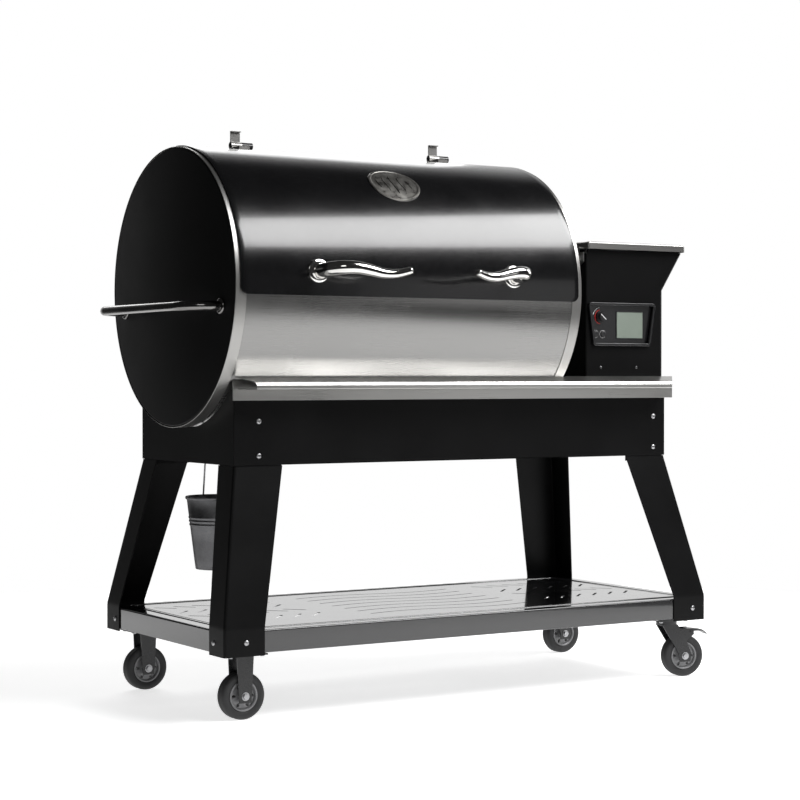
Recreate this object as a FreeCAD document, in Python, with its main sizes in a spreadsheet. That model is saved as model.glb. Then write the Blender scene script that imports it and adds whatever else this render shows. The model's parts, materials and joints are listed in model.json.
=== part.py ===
"""Pellet smoker grill: a horizontal barrel on a four-legged cart, with a pellet hopper at its right end.

Axes: +X to the right along the barrel, +Y to the back, +Z up. Millimetres.
Origin: on the floor, under the middle of the whole grill's outline.
Every formula below measures x from the barrel's left end, y from the cart's front face and z from the
floor; place() moves them to the origin.
"""
import FreeCAD, Part
import math
import os
import re

import Sketcher

Vector = FreeCAD.Vector
Rotation = FreeCAD.Rotation

DIMS = {
    # barrel
    "barrel_radius": 310, "barrel_length": 897, "barrel_seat_rise": 19.107, "shell_skin": 2,
    "band_width": 26, "band_skin": 1.5, "cap_skin": 2.5, "cap_flange": 18,
    "mouth_low_angle": 4, "mouth_high_angle": 86, "mouth_margin": 45,
    # lid on the barrel
    "lid_low_angle": -4.5, "lid_high_angle": 91, "lid_margin": 11, "lid_gap": 1, "lid_skin_thick": 2,
    "hinge_spread": 265.5, "hinge_back": 20.5, "hinge_rise": 15, "knuckle_radius": 8,
    "knuckle_length": 27, "leaf_reach": 36, "leaf_thick": 3, "hinge_pin_radius": 3.5,
    "stop_width": 24, "stop_height": 22, "stop_lip": 7, "stop_thick": 2,
    "horn_spread": 253, "horn_rise": 28, "horn_radius": 15.5, "horn_tip_radius": 7.5,
    "horn_length": 167, "horn_standoff": 107, "horn_flange_radius": 25.5, "horn_flange_thick": 5,
    "badge_width": 102, "badge_height": 64, "badge_thick": 4, "badge_angle": 48,
    # side handle, vent
    "bar_radius": 10.5, "bar_reach": 75, "bar_bend": 62, "bar_margin": 67.5, "bar_drop": 48,
    "collar_radius": 17, "collar_thick": 6,
    "vent_length": 300, "vent_depth": 42, "vent_height": 70, "vent_rise": 60, "vent_skin": 1.5,
    # inside the barrel
    "grate_drop": 20, "grate_rod": 6, "grate_pitch": 24, "grate_side": 25.4, "grate_gap": 4,
    "rail_width": 28, "rail_reach": 60, "rail_thick": 3, "grate_inset": 20,
    "tray_side": 47.3, "tray_wall": 14, "tray_skin": 1.5, "tray_tilt": 1.2, "tray_clear": 36,
    "tray_inset": 35, "deflector_length": 260, "deflector_depth": 220, "deflector_skin": 3,
    "deflector_gap": 16.5, "deflector_ridge": 10,
    "pot_radius": 55, "pot_height": 88, "pot_wall": 3, "pot_clear": 6, "probe_radius": 3,
    "probe_length": 120, "probe_rise": 90, "igniter_radius": 4.5, "igniter_length": 90,
    # auger and fan
    "auger_rise": 53.5, "auger_tube_radius": 26, "auger_tube_wall": 2, "auger_clear": 1.5,
    "auger_shaft_radius": 6, "auger_pitch": 48, "flight_thick": 3,
    "gearbox_length": 42, "gearbox_width": 76, "gearbox_height": 88, "motor_radius": 30,
    "motor_length": 48, "fan_size": 120, "fan_depth": 38, "fan_wall": 4, "fan_hub_radius": 22,
    "fan_blade_gap": 3, "fan_blade_thick": 2, "fan_pin_radius": 3, "fan_ahead": 40, "fan_side": 150,
    "fan_rise": 78, "running_gap": 0.05,
    # drip pipe, bucket
    "spout_x": 105, "spout_y": 210, "spout_radius": 14, "spout_wall": 1.5, "spout_over": 47,
    "hook_wire": 3, "hook_over": 28, "hook_reach": 34, "bucket_radius": 72,
    "bucket_foot_radius": 52,
    "bucket_drop": 76, "bucket_height": 162, "bucket_skin": 1.2, "bucket_bead": 2.5,
    "bail_wire": 2, "ear_drop": 9, "ear_length": 7, "bail_lean": 11, "bail_gap": 2, "bail_knee_drop": 31,
    "hang_gap": 0.15,
    # cart
    "apron_left": 35, "hopper_gap": 71, "apron_depth": 463.5, "apron_low": 538,
    "apron_high": 700, "apron_skin": 2.5, "apron_lip": 20, "barrel_seat_gap": 1,
    "leg_front_top": 117, "leg_side_top": 74, "leg_front_low": 96, "leg_side_low": 71,
    "leg_splay_x": 59.5, "leg_splay_y": 71.5, "leg_foot_height": 59, "caster_rise": 39.4, "leg_skin": 3,
    "shelf_lift": 5, "shelf_height": 49, "shelf_skin": 2, "shelf_lip": 22,
    "ledge_rise": 29, "ledge_drop": 13, "ledge_face": 15, "ledge_depth": 62, "ledge_skin": 1.5,
    "ledge_start": -3, "ledge_end": 24, "ledge_left_cut": 26, "ledge_right_cut": 52,
    "screw_radius": 6, "screw_head": 3,
    # hopper
    "hopper_length": 239, "hopper_neck_rise": 238, "hopper_height": 329, "hopper_flare": 60,
    "hopper_skin": 2, "hopper_corner": 11, "corner_inset": 0.6,
    "hopper_lid_over": 12, "hopper_lid_left": 2, "hopper_lid_gap": 1.5,
    "hopper_lid_height": 17, "hopper_lid_skin": 1.5, "chute_skin": 1.5, "chute_drop": 4,
    "throat_length": 54, "throat_corner": 4, "throat_depth": 40, "throat_end": 118, "guard_wire": 2,
    "ear_back": 6, "ear_depth": 40, "ear_high": 33, "lid_pin_radius": 3, "lid_pin_drop": 20,
    "bracket_skin": 2.5,
    # controller
    "panel_left": 4, "panel_rise": 101, "panel_height": 103, "panel_width": 203, "panel_low_cut": 15,
    "panel_proud": 7, "bezel_width": 6.5, "panel_depth": 12, "housing_depth": 20,
    "screen_left": 90, "screen_width": 78, "screen_height": 62, "screen_low": 19,
    "screen_thick": 2, "knob_x": 42, "knob_low": 69, "knob_radius": 13, "knob_proud": 13,
    "button_x": 27, "button_step": 22, "button_low": 28, "button_radius": 7.5, "button_proud": 3,
    "button_travel": 1.5, "stem_radius": 3, "stem_length": 8,
    "inlet_width": 48, "inlet_height": 28, "inlet_depth": 24, "inlet_over": 60,
    # casters
    "wheel_radius": 50.8, "wheel_width": 32, "hub_radius": 33, "axle_radius": 4,
    "caster_inset_x": 70, "caster_inset_y": 60.5, "caster_trail": 40, "caster_yaw": -15,
    "fork_gap": 3, "fork_skin": 2.5, "fork_width": 40, "plate_length": 94, "plate_width": 70,
    "plate_thick": 3, "race_radius": 25, "race_height": 10, "race_gap": 0.4, "kingpin_radius": 5,
    "brake_reach": 60, "brake_width": 30, "brake_thick": 3, "brake_pin_radius": 3,
    "brake_pin_back": 16, "brake_pin_over": 8.2,
}

# Values worked out from the driving dimensions, in order.
PLACES = {
    "apron_right": "barrel_length + hopper_gap + hopper_length",
    "apron_length": "apron_right - apron_left",
    "axis_y": "apron_depth / 2",
    "axis_height": "apron_high + barrel_seat_rise + sqrt(barrel_radius ^ 2 - axis_y ^ 2)",
    "leg_low": "2 * wheel_radius + caster_rise",
    "leg_knee": "leg_low + leg_foot_height",
    "shelf_low": "leg_low + shelf_lift",
    "shelf_high": "shelf_low + shelf_height",
    "brake_pin_rise": "wheel_radius + brake_pin_over",
    "ledge_back": "apron_high + ledge_rise",
    "ledge_front": "ledge_back - ledge_drop",
    "ledge_low": "ledge_front - ledge_face",
    "hopper_neck": "apron_high + hopper_neck_rise",
    "hopper_high": "apron_high + hopper_height",
    "chute_high": "hopper_neck - chute_drop",
    "panel_low": "apron_high + panel_rise",
    "inlet_rise": "apron_high + inlet_over",
    "spout_low": "apron_low + spout_over",
    "hook_low": "apron_low + hook_over",
    "bucket_rim": "apron_low - bucket_drop",
    "bail_knee": "hook_low - bail_knee_drop",
    "shell_radius": "barrel_radius - band_skin",
    "shell_inner": "shell_radius - shell_skin",
    "lid_inner": "barrel_radius + lid_gap",
    "lid_outer": "lid_inner + lid_skin_thick",
    "barrel_mid": "barrel_length / 2",
    "hinge_y": "axis_y + hinge_back",
    "hinge_z": "axis_height + barrel_radius + hinge_rise",
    "horn_z": "axis_height + horn_rise",
    "horn_y": "axis_y - sqrt(lid_outer ^ 2 - horn_rise ^ 2)",
    "mouth_length": "barrel_length - 2 * mouth_margin",
    "lid_length": "barrel_length - 2 * lid_margin",
    "bar_z": "axis_height - bar_drop",
    "bar_spread": "barrel_radius - bar_margin",
    "grate_z": "axis_height - grate_drop - grate_rod",
    "grate_length": "(barrel_length - 2 * cap_skin - 2 * grate_inset - grate_gap) / 2",
    "grate_depth": "2 * (sqrt(shell_inner ^ 2 - (grate_drop + grate_rod) ^ 2) - grate_side)",
    "pot_low": "axis_height - shell_inner + pot_clear",
    "deflector_z": "pot_low + pot_height + deflector_gap",
    "tray_z": "deflector_z + deflector_ridge + tray_clear",
    "tray_depth": "2 * (sqrt(shell_inner ^ 2 - (axis_height - tray_z) ^ 2) - tray_side)",
    "tray_length": "barrel_length - 2 * tray_inset",
    "auger_z": "axis_height - shell_inner + auger_rise",
    "hopper_left": "apron_right - hopper_length",
    "throat_x": "apron_right - throat_end - throat_length",
    "auger_start": "barrel_mid + pot_radius - pot_wall",
    "auger_end": "throat_x + throat_length + 14",
    "deflector_leg": "sqrt(shell_inner ^ 2 - (deflector_depth / 2) ^ 2) - (axis_height - deflector_z)",
    "gearbox_x": "auger_end + 4",
    "flight_radius": "auger_tube_radius - auger_tube_wall - auger_clear",
    "panel_x": "hopper_left + panel_left",
    "panel_y": "-panel_proud",
    "face_y": "panel_depth - panel_proud - 2",
    "lid_pin_x": "hopper_left - bracket_skin - 6",
    "lid_pin_z": "hopper_high - lid_pin_drop",
    "hopper_lid_z": "hopper_high + hopper_lid_gap",
    "foot_left": "apron_left - leg_splay_x",
    "foot_right": "apron_right + leg_splay_x + 9",
    "foot_front": "-leg_splay_y",
    "foot_back": "apron_depth + leg_splay_y",
    "caster_left": "foot_left + caster_inset_x",
    "caster_right": "foot_right - caster_inset_x",
    "caster_front": "foot_front + caster_inset_y",
    "caster_back": "foot_back - caster_inset_y",
    "fork_half": "wheel_width / 2 + fork_gap",
    "plate_z": "leg_low - plate_thick",
    "ear_z": "bucket_rim - ear_drop",
    "fan_x": "gearbox_x - fan_ahead",
    "fan_y": "axis_y - fan_side",
    "fan_z": "apron_low + fan_rise",
    "bail_top": "hook_low + bail_wire + hang_gap",
    "left_end": "-bar_reach - bar_radius",
    "right_end": "caster_right + caster_trail + brake_reach",
    "front_end": "horn_y - horn_standoff - horn_tip_radius",
    "back_end": "axis_y + barrel_radius + vent_depth",
    "centre_x": "(left_end + right_end) / 2",
    "centre_y": "(front_end + back_end) / 2",
}

doc = FreeCAD.newDocument("pellet_smoker_grill")
sheet = doc.addObject("Spreadsheet::Sheet", "Dims")
for row, (alias, size) in enumerate(DIMS.items(), start=1):
    sheet.set("A%d" % row, alias)
    sheet.set("B%d" % row, str(size))
    sheet.setAlias("B%d" % row, alias)
doc.recompute()
places = doc.addObject("App::VarSet", "Places")
nodes = []


def formula(text):
    """The formula with each name given its owner, the sheet or the worked-out values."""
    def owned(match):
        word = match.group(0)
        if word in DIMS:
            return "Dims." + word
        return "Places." + word if word in PLACES else word
    return re.sub(r"[A-Za-z_]\w*", owned, str(text))


for alias, text in PLACES.items():
    places.addProperty("App::PropertyFloat", alias)
    places.setExpression(alias, formula(text))
doc.recompute()


def size_of(name):
    """A driving or worked-out dimension as a number."""
    return float(getattr(sheet if name in DIMS else places, name))


def bind(piece, prop, text):
    piece.setExpression(prop, formula(text))


AXES = {
    "x": Rotation(Vector(0, 1, 0), 90),
    "y": Rotation(Vector(1, 0, 0), -90),
    "-y": Rotation(Vector(1, 0, 0), 90),
    "z": Rotation(),
    "-x": Rotation(Vector(0, 1, 0), -90),
}


def place(piece, at, turn=None):
    """Puts a piece's own origin at the point (three formulas), turned by a rotation."""
    piece.Placement = FreeCAD.Placement(Vector(), turn or Rotation())
    for letter, text, shift in zip("xyz", at, ("centre_x", "centre_y", "0")):
        bind(piece, "Placement.Base." + letter, "(%s) - %s" % (text, shift))
    return piece


def box(name, at, size, turn=None):
    piece = doc.addObject("Part::Box", name)
    for prop, text in zip(("Length", "Width", "Height"), size):
        bind(piece, prop, text)
    return place(piece, at, turn)


def cylinder(name, at, along, radius, length, turn=None):
    piece = doc.addObject("Part::Cylinder", name)
    bind(piece, "Radius", radius)
    bind(piece, "Height", length)
    return place(piece, at, turn or AXES[along])


def sector(name, radius, start_x, length, low_angle, high_angle):
    """A slice of a cylinder on the barrel's axis, between two angles up from the front."""
    turn = AXES["x"].multiply(Rotation(Vector(0, 0, 1), -90 - size_of(high_angle)))
    piece = cylinder(name, (start_x, "axis_y", "axis_height"), "x", radius, length, turn)
    bind(piece, "Angle", "%s - (%s)" % (high_angle, low_angle))
    return piece


def cut(name, base, *tools):
    piece = doc.addObject("Part::Cut", name)
    piece.Base = base
    piece.Tool = tools[0] if len(tools) == 1 else group(name + "_tools", *tools)
    return piece


def fuse(name, *shapes):
    piece = doc.addObject("Part::MultiFuse", name)
    piece.Shapes = list(shapes)
    return piece


def common(name, *shapes):
    piece = doc.addObject("Part::MultiCommon", name)
    piece.Shapes = list(shapes)
    return piece


def group(name, *shapes):
    """Several separate solids kept together as one object."""
    piece = doc.addObject("Part::Compound", name)
    piece.Links = list(shapes)
    return piece


def node(name, piece):
    """Marks a finished sub-part. Its label names its file."""
    piece.Label = name
    nodes.append(piece)
    return piece


def plane_of(body, role):
    return next(f for f in body.Origin.OriginFeatures if f.Role == role)


def outline(body, role, points, lift=None):
    """A closed sketch through the points (pairs of formulas) on one of the body's planes."""
    sketch = body.newObject("Sketcher::SketchObject", body.Name + "_outline")
    sketch.AttachmentSupport = (plane_of(body, role), [""])
    sketch.MapMode = "FlatFace"
    if lift is not None:
        bind(sketch, "AttachmentOffset.Base.z", lift)
    count = len(points)
    guess = [Vector(math.cos(2 * math.pi * i / count), math.sin(2 * math.pi * i / count), 0)
             for i in range(count)]
    for i in range(count):
        sketch.addGeometry(Part.LineSegment(guess[i], guess[(i + 1) % count]), False)
    for i in range(count):
        sketch.addConstraint(Sketcher.Constraint("Coincident", i, 2, (i + 1) % count, 1))
    for i, point in enumerate(points):
        for kind, text, rough in zip(("DistanceX", "DistanceY"), point, guess[i]):
            number = sketch.addConstraint(Sketcher.Constraint(kind, -1, 1, i, 1, rough or 0.5))
            bind(sketch, "Constraints[%d]" % number, text)
    return sketch


def padded(name, at, role, points, length, turn=None):
    """A plate or bar: an outline on a plane of its own, padded by a length."""
    body = doc.addObject("PartDesign::Body", name)
    pad = body.newObject("PartDesign::Pad", name + "_pad")
    pad.Profile = outline(body, role, points)
    bind(pad, "Length", length)
    body.Tip = pad
    return place(body, at, turn)


def turned(name, at, along, points):
    """A round piece: an outline of (radius, height) pairs turned about its own axis."""
    body = doc.addObject("PartDesign::Body", name)
    sketch = outline(body, "XZ_Plane", points)
    turning = body.newObject("PartDesign::Revolution", name + "_turn")
    turning.Profile = sketch
    turning.ReferenceAxis = (sketch, ["V_Axis"])
    turning.Angle = 360
    body.Tip = turning
    return place(body, at, AXES[along])


def lofted(name, at, sections, turn=None):
    """A straight-sided solid through outlines at several heights."""
    body = doc.addObject("PartDesign::Body", name)
    sketches = [outline(body, "XY_Plane", points, lift) for lift, points in sections]
    loft = body.newObject("PartDesign::AdditiveLoft", name + "_loft")
    loft.Profile = sketches[0]
    loft.Sections = sketches[1:]
    loft.Ruled = True
    body.Tip = loft
    return place(body, at, turn)


def rectangle(x0, y0, x1, y1):
    return [(x0, y0), (x1, y0), (x1, y1), (x0, y1)]


def nosed(x0, y0, x1, y1, corner):
    """A rectangle with its front right corner cut off."""
    return [(x0, y0), ("%s - (%s)" % (x1, corner), y0), (x1, "%s + %s" % (y0, corner)), (x1, y1), (x0, y1)]


def bent_rod(name, corners, radius, bend):
    """A round rod through corner points in real places, each corner rounded to the bend."""
    shift = Vector(size_of("centre_x"), size_of("centre_y"), 0)
    points = [Vector(*c) - shift for c in corners]
    edges = []
    start = points[0]
    for before, corner, after in zip(points, points[1:], points[2:]):
        back = (before - corner).normalize()
        ahead = (after - corner).normalize()
        half = back.getAngle(ahead) / 2
        reach = bend / math.tan(half)
        middle = (back + ahead).normalize() * (bend / math.sin(half))
        centre = corner + middle
        crown = centre - (back + ahead).normalize() * bend
        edges.append(Part.LineSegment(start, corner + back * reach).toShape())
        edges.append(Part.Arc(corner + back * reach, crown, corner + ahead * reach).toShape())
        start = corner + ahead * reach
    edges.append(Part.LineSegment(start, points[-1]).toShape())
    spine = doc.addObject("Part::Feature", name + "_spine")
    spine.Shape = Part.Wire(edges)
    ring = doc.addObject("Part::Circle", name + "_ring")
    bind(ring, "Radius", radius)
    ring.Placement = FreeCAD.Placement(points[0], Rotation(Vector(0, 0, 1), points[1] - points[0]))
    sweep = doc.addObject("Part::Sweep", name)
    sweep.Sections = [ring]
    sweep.Spine = (spine, ["Edge%d" % (i + 1) for i in range(len(edges))])
    sweep.Solid = True
    sweep.Frenet = False
    return sweep


# ---------------------------------------------------------------- barrel
def make_barrel():
    axis = ("0", "axis_y", "axis_height")
    outer = cylinder("shell_outer", ("cap_skin", *axis[1:]), "x", "shell_radius",
                     "barrel_length - 2 * cap_skin")
    inner = cylinder("shell_bore", axis, "x", "shell_inner", "barrel_length")
    mouth = sector("mouth", "barrel_radius * 1.1", "mouth_margin", "mouth_length",
                   "mouth_low_angle", "mouth_high_angle")
    drain = cylinder("drain_hole", ("spout_x", "spout_y", "axis_height - barrel_radius - 10"), "z",
                     "spout_radius", "60")
    slots = [box("vent_slot_%d" % i, ("barrel_mid - vent_length / 2 + %s" % step, "axis_y + 200",
                                      "axis_height + vent_rise + vent_height / 2"),
                 ("vent_length * 0.14", "200", "12"))
             for i, step in enumerate(["vent_length * 0.2 * %d + vent_length * 0.03" % k
                                       for k in range(5)])]
    node("barrel_shell", cut("barrel_shell", outer, inner, mouth, drain, *slots))

    ring = [("shell_radius", "0"), ("barrel_radius", "0"), ("barrel_radius", "band_width"),
            ("shell_radius", "band_width")]
    left = turned("band_left", axis, "x", ring)
    right = turned("band_right", ("barrel_length - band_width", *axis[1:]), "x", ring)
    node("barrel_bands", group("barrel_bands", left, right))

    profile = [("0", "0"), ("shell_radius", "0"), ("shell_radius", "cap_skin"),
               ("shell_inner", "cap_skin"), ("shell_inner", "cap_skin + cap_flange"),
               ("shell_inner - cap_skin", "cap_skin + cap_flange"),
               ("shell_inner - cap_skin", "cap_skin"), ("0", "cap_skin")]
    node("end_cap_left", turned("end_cap_left", axis, "x", profile))
    disc = turned("cap_right_disc", ("barrel_length", *axis[1:]), "-x", profile)
    auger_hole = cylinder("cap_auger_hole", ("barrel_length - 100", "axis_y", "auger_z"), "x",
                          "auger_tube_radius", "200")
    node("end_cap_right", cut("end_cap_right", disc, auger_hole))


# ---------------------------------------------------------------- lid
def make_lid():
    skin = sector("lid_outside", "lid_outer", "lid_margin", "lid_length",
                  "lid_low_angle", "lid_high_angle")
    hollow = cylinder("lid_inside", ("0", "axis_y", "axis_height"), "x", "lid_inner",
                      "barrel_length")
    node("lid_skin", cut("lid_skin", skin, hollow))
    for side, way in (("left", 1), ("right", -1)):
        make_horn(side, way)

    angle = math.radians(size_of("badge_angle"))
    tilt = Rotation(Vector(1, 0, 0), 90 - size_of("badge_angle"))
    blank = doc.addObject("Part::Ellipse", "badge_outline")
    bind(blank, "MajorRadius", "badge_width / 2")
    bind(blank, "MinorRadius", "badge_height / 2")
    place(blank, ("barrel_mid", "axis_y - (lid_outer - 4) * %f" % math.cos(angle),
                  "axis_height + (lid_outer - 4) * %f" % math.sin(angle)), tilt)
    disc = doc.addObject("Part::Extrusion", "badge_blank")
    disc.Base = blank
    disc.DirMode = "Normal"
    disc.Solid = True
    bind(disc, "LengthFwd", "badge_thick + 4")
    round_lid = cylinder("badge_bed", ("0", "axis_y", "axis_height"), "x", "lid_outer",
                         "barrel_length")
    node("lid_badge", cut("lid_badge", disc, round_lid))
    make_hinges()


def make_horn(side, way):
    """A tapered S-shaped handle that leaves its flange and points to the middle of the lid."""
    stations = [  # share of the length, of the stand-off, of the taper, and the rise
        (0.0, 0.0, 0.0, 0.0), (0.0, 0.28, 0.0, 1.0), (0.03, 0.52, 0.03, 3.0),
        (0.13, 0.70, 0.10, 5.0), (0.28, 0.78, 0.22, 5.0), (0.46, 0.82, 0.40, 0.0),
        (0.64, 0.86, 0.58, -6.0), (0.82, 0.92, 0.78, -6.0), (1.0, 1.0, 1.0, 1.0)]
    start = Vector(size_of("barrel_mid") - way * size_of("horn_spread"), size_of("horn_y"),
                   size_of("horn_z"))
    start -= Vector(size_of("centre_x"), size_of("centre_y"), 0)
    points = [start + Vector(way * size_of("horn_length") * along,
                             -size_of("horn_standoff") * out, rise)
              for along, out, taper, rise in stations]
    rings = []
    for i, (along, out, taper, rise) in enumerate(stations):
        ahead = points[min(i + 1, len(points) - 1)] - points[max(i - 1, 0)]
        ring = doc.addObject("Part::Circle", "horn_%s_ring_%d" % (side, i))
        bind(ring, "Radius", "horn_radius - (horn_radius - horn_tip_radius) * %s" % taper)
        facing = Vector(0, -1, 0) if i == 0 else ahead
        across = Vector(0, 0, 1).cross(facing)
        ring.Placement = FreeCAD.Placement(points[i], Rotation(across, Vector(), facing, "ZXY"))
        rings.append(ring)
    horn = doc.addObject("Part::Loft", "horn_" + side)
    horn.Sections = rings
    horn.Solid = True
    horn.Ruled = False
    foot = turned("horn_foot_" + side, ("barrel_mid - horn_spread * %d" % way, "horn_y + 8", "horn_z"),
                  "-y", [("0", "0"), ("horn_flange_radius", "0"),
                         ("horn_flange_radius", "4 + horn_flange_thick"),
                         ("horn_flange_radius - 4", "8 + horn_flange_thick"),
                         ("0", "8 + horn_flange_thick")])
    bed = cylinder("horn_bed_" + side, ("0", "axis_y", "axis_height"), "x", "lid_outer",
                   "barrel_length")
    node("lid_handle_" + side, cut("lid_handle_" + side, fuse("horn_whole_" + side, horn, foot), bed))


def make_hinges():
    """Two-knuckle hinges: the left knuckle and its stop turn with the lid, the right one is fixed."""
    lid_leaves, barrel_leaves = [], []
    for side, way in (("left", -1), ("right", 1)):
        split = "barrel_mid + hinge_spread * %d" % way
        lid_x = "%s - knuckle_length" % split
        knuckle = cylinder("lid_knuckle_" + side, (lid_x, "hinge_y", "hinge_z"), "x",
                           "knuckle_radius", "knuckle_length - 0.3")
        bore = cylinder("lid_knuckle_bore_" + side, (lid_x + " - 1", "hinge_y", "hinge_z"), "x",
                        "hinge_pin_radius + running_gap", "knuckle_length + 2")
        leaf = box("lid_leaf_" + side, (lid_x, "hinge_y - knuckle_radius - leaf_reach",
                                        "axis_height + barrel_radius - 4"),
                   ("knuckle_length - 0.3", "leaf_reach + knuckle_radius",
                    "hinge_rise + 4 - knuckle_radius + leaf_thick"))
        stop = box("lid_stop_" + side, (lid_x, "hinge_y - stop_thick / 2",
                                        "hinge_z + hinge_pin_radius + 1"),
                   ("stop_width", "stop_thick", "knuckle_radius + stop_height - hinge_pin_radius"))
        lip = box("lid_stop_lip_" + side, (lid_x, "hinge_y - stop_lip",
                                           "hinge_z + knuckle_radius + stop_height"),
                  ("stop_width", "stop_lip + stop_thick / 2", "stop_thick"))
        whole = fuse("lid_leaf_whole_" + side, knuckle, leaf, stop, lip)
        bed = cylinder("lid_leaf_bed_" + side, ("0", "axis_y", "axis_height"), "x", "lid_outer",
                       "barrel_length")
        behind = box("lid_leaf_end_" + side, (lid_x + " - 1", "hinge_y - knuckle_radius * 0.7",
                                              "axis_height"),
                     ("knuckle_length + 2", "60", "barrel_radius + hinge_rise - knuckle_radius - 0.5"))
        lid_leaves.append(cut("lid_leaf_done_" + side, whole, bore, bed, behind))

        fixed = cylinder("barrel_knuckle_" + side, (split, "hinge_y", "hinge_z"), "x",
                         "knuckle_radius", "knuckle_length")
        foot = box("barrel_leaf_" + side, (split, "hinge_y - 2", "axis_height + barrel_radius - 22"),
                   ("knuckle_length", "leaf_reach", "22 + hinge_rise"))
        shell = cylinder("barrel_leaf_bed_" + side, ("0", "axis_y", "axis_height"), "x",
                         "shell_radius", "barrel_length")
        slope = box("barrel_leaf_slope_" + side, (split + " - 1", "hinge_y + knuckle_radius",
                                                  "axis_height + barrel_radius - 2"),
                    ("knuckle_length + 2", "leaf_reach", "hinge_rise + 10"))
        pin = cylinder("hinge_pin_" + side, (lid_x + " - 2", "hinge_y", "hinge_z"), "x",
                       "hinge_pin_radius", "knuckle_length + 12")
        leaf_block = cut("barrel_leaf_block_" + side, foot, shell, slope)
        barrel_leaves.append(fuse("barrel_leaf_done_" + side, fixed, leaf_block, pin))
    node("hinge_leaves_lid", group("hinge_leaves_lid", *lid_leaves))
    node("hinge_leaves_barrel", group("hinge_leaves_barrel", *barrel_leaves))


# ---------------------------------------------------------------- side handle and rear vent
def make_side_handle():
    reach, y, z = size_of("bar_reach"), size_of("axis_y"), size_of("bar_z")
    spread = size_of("bar_spread")
    bar = bent_rod("side_bar", [(0, y - spread, z), (-reach, y - spread, z),
                                (-reach, y + spread, z), (0, y + spread, z)],
                   "bar_radius", size_of("bar_bend"))
    collars = [turned("bar_collar_%d" % i, ("0", "axis_y + bar_spread * %d" % way, "bar_z"), "-x",
                      [("0", "0"), ("collar_radius", "0"), ("collar_radius", "collar_thick / 2"),
                       ("collar_radius - 3", "collar_thick"), ("0", "collar_thick")])
               for i, way in enumerate((-1, 1))]
    node("side_handle", fuse("side_handle", bar, *collars))


def make_vent():
    low = "axis_height + vent_rise"
    hood = box("vent_hood", ("barrel_mid - vent_length / 2", "axis_y", low),
               ("vent_length", "barrel_radius + vent_depth", "vent_height"))
    hollow = box("vent_hollow", ("barrel_mid - vent_length / 2 + vent_skin", "axis_y", low + " - 1"),
                 ("vent_length - 2 * vent_skin", "barrel_radius + vent_depth - vent_skin",
                  "vent_height + 1 - vent_skin"))
    bed = cylinder("vent_bed", ("0", "axis_y", "axis_height"), "x", "shell_radius", "barrel_length")
    node("exhaust_hood", cut("exhaust_hood", hood, hollow, bed))


# ---------------------------------------------------------------- inside the barrel
def make_grate(name, start_x):
    """Rods along the depth, on two cross bars at the front and back."""
    count = int((size_of("grate_length") - size_of("grate_rod")) // size_of("grate_pitch")) + 1
    low_y = "axis_y - grate_depth / 2"
    rods = [cylinder("%s_rod_%d" % (name, i),
                     ("%s + grate_rod / 2 + (grate_length - grate_rod) / %d * %d" % (start_x, count - 1, i),
                      low_y, "grate_z + grate_rod * 1.5"), "y", "grate_rod / 2", "grate_depth")
            for i in range(count)]
    bars = [box("%s_bar_%d" % (name, i), (start_x, "%s + %s" % (low_y, shift), "grate_z"),
                ("grate_length", "grate_rod", "grate_rod * 1.3"))
            for i, shift in enumerate(("2", "grate_depth / 3", "grate_depth * 2 / 3",
                                       "grate_depth - grate_rod - 2"))]
    node(name, fuse(name, *rods, *bars))


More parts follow.
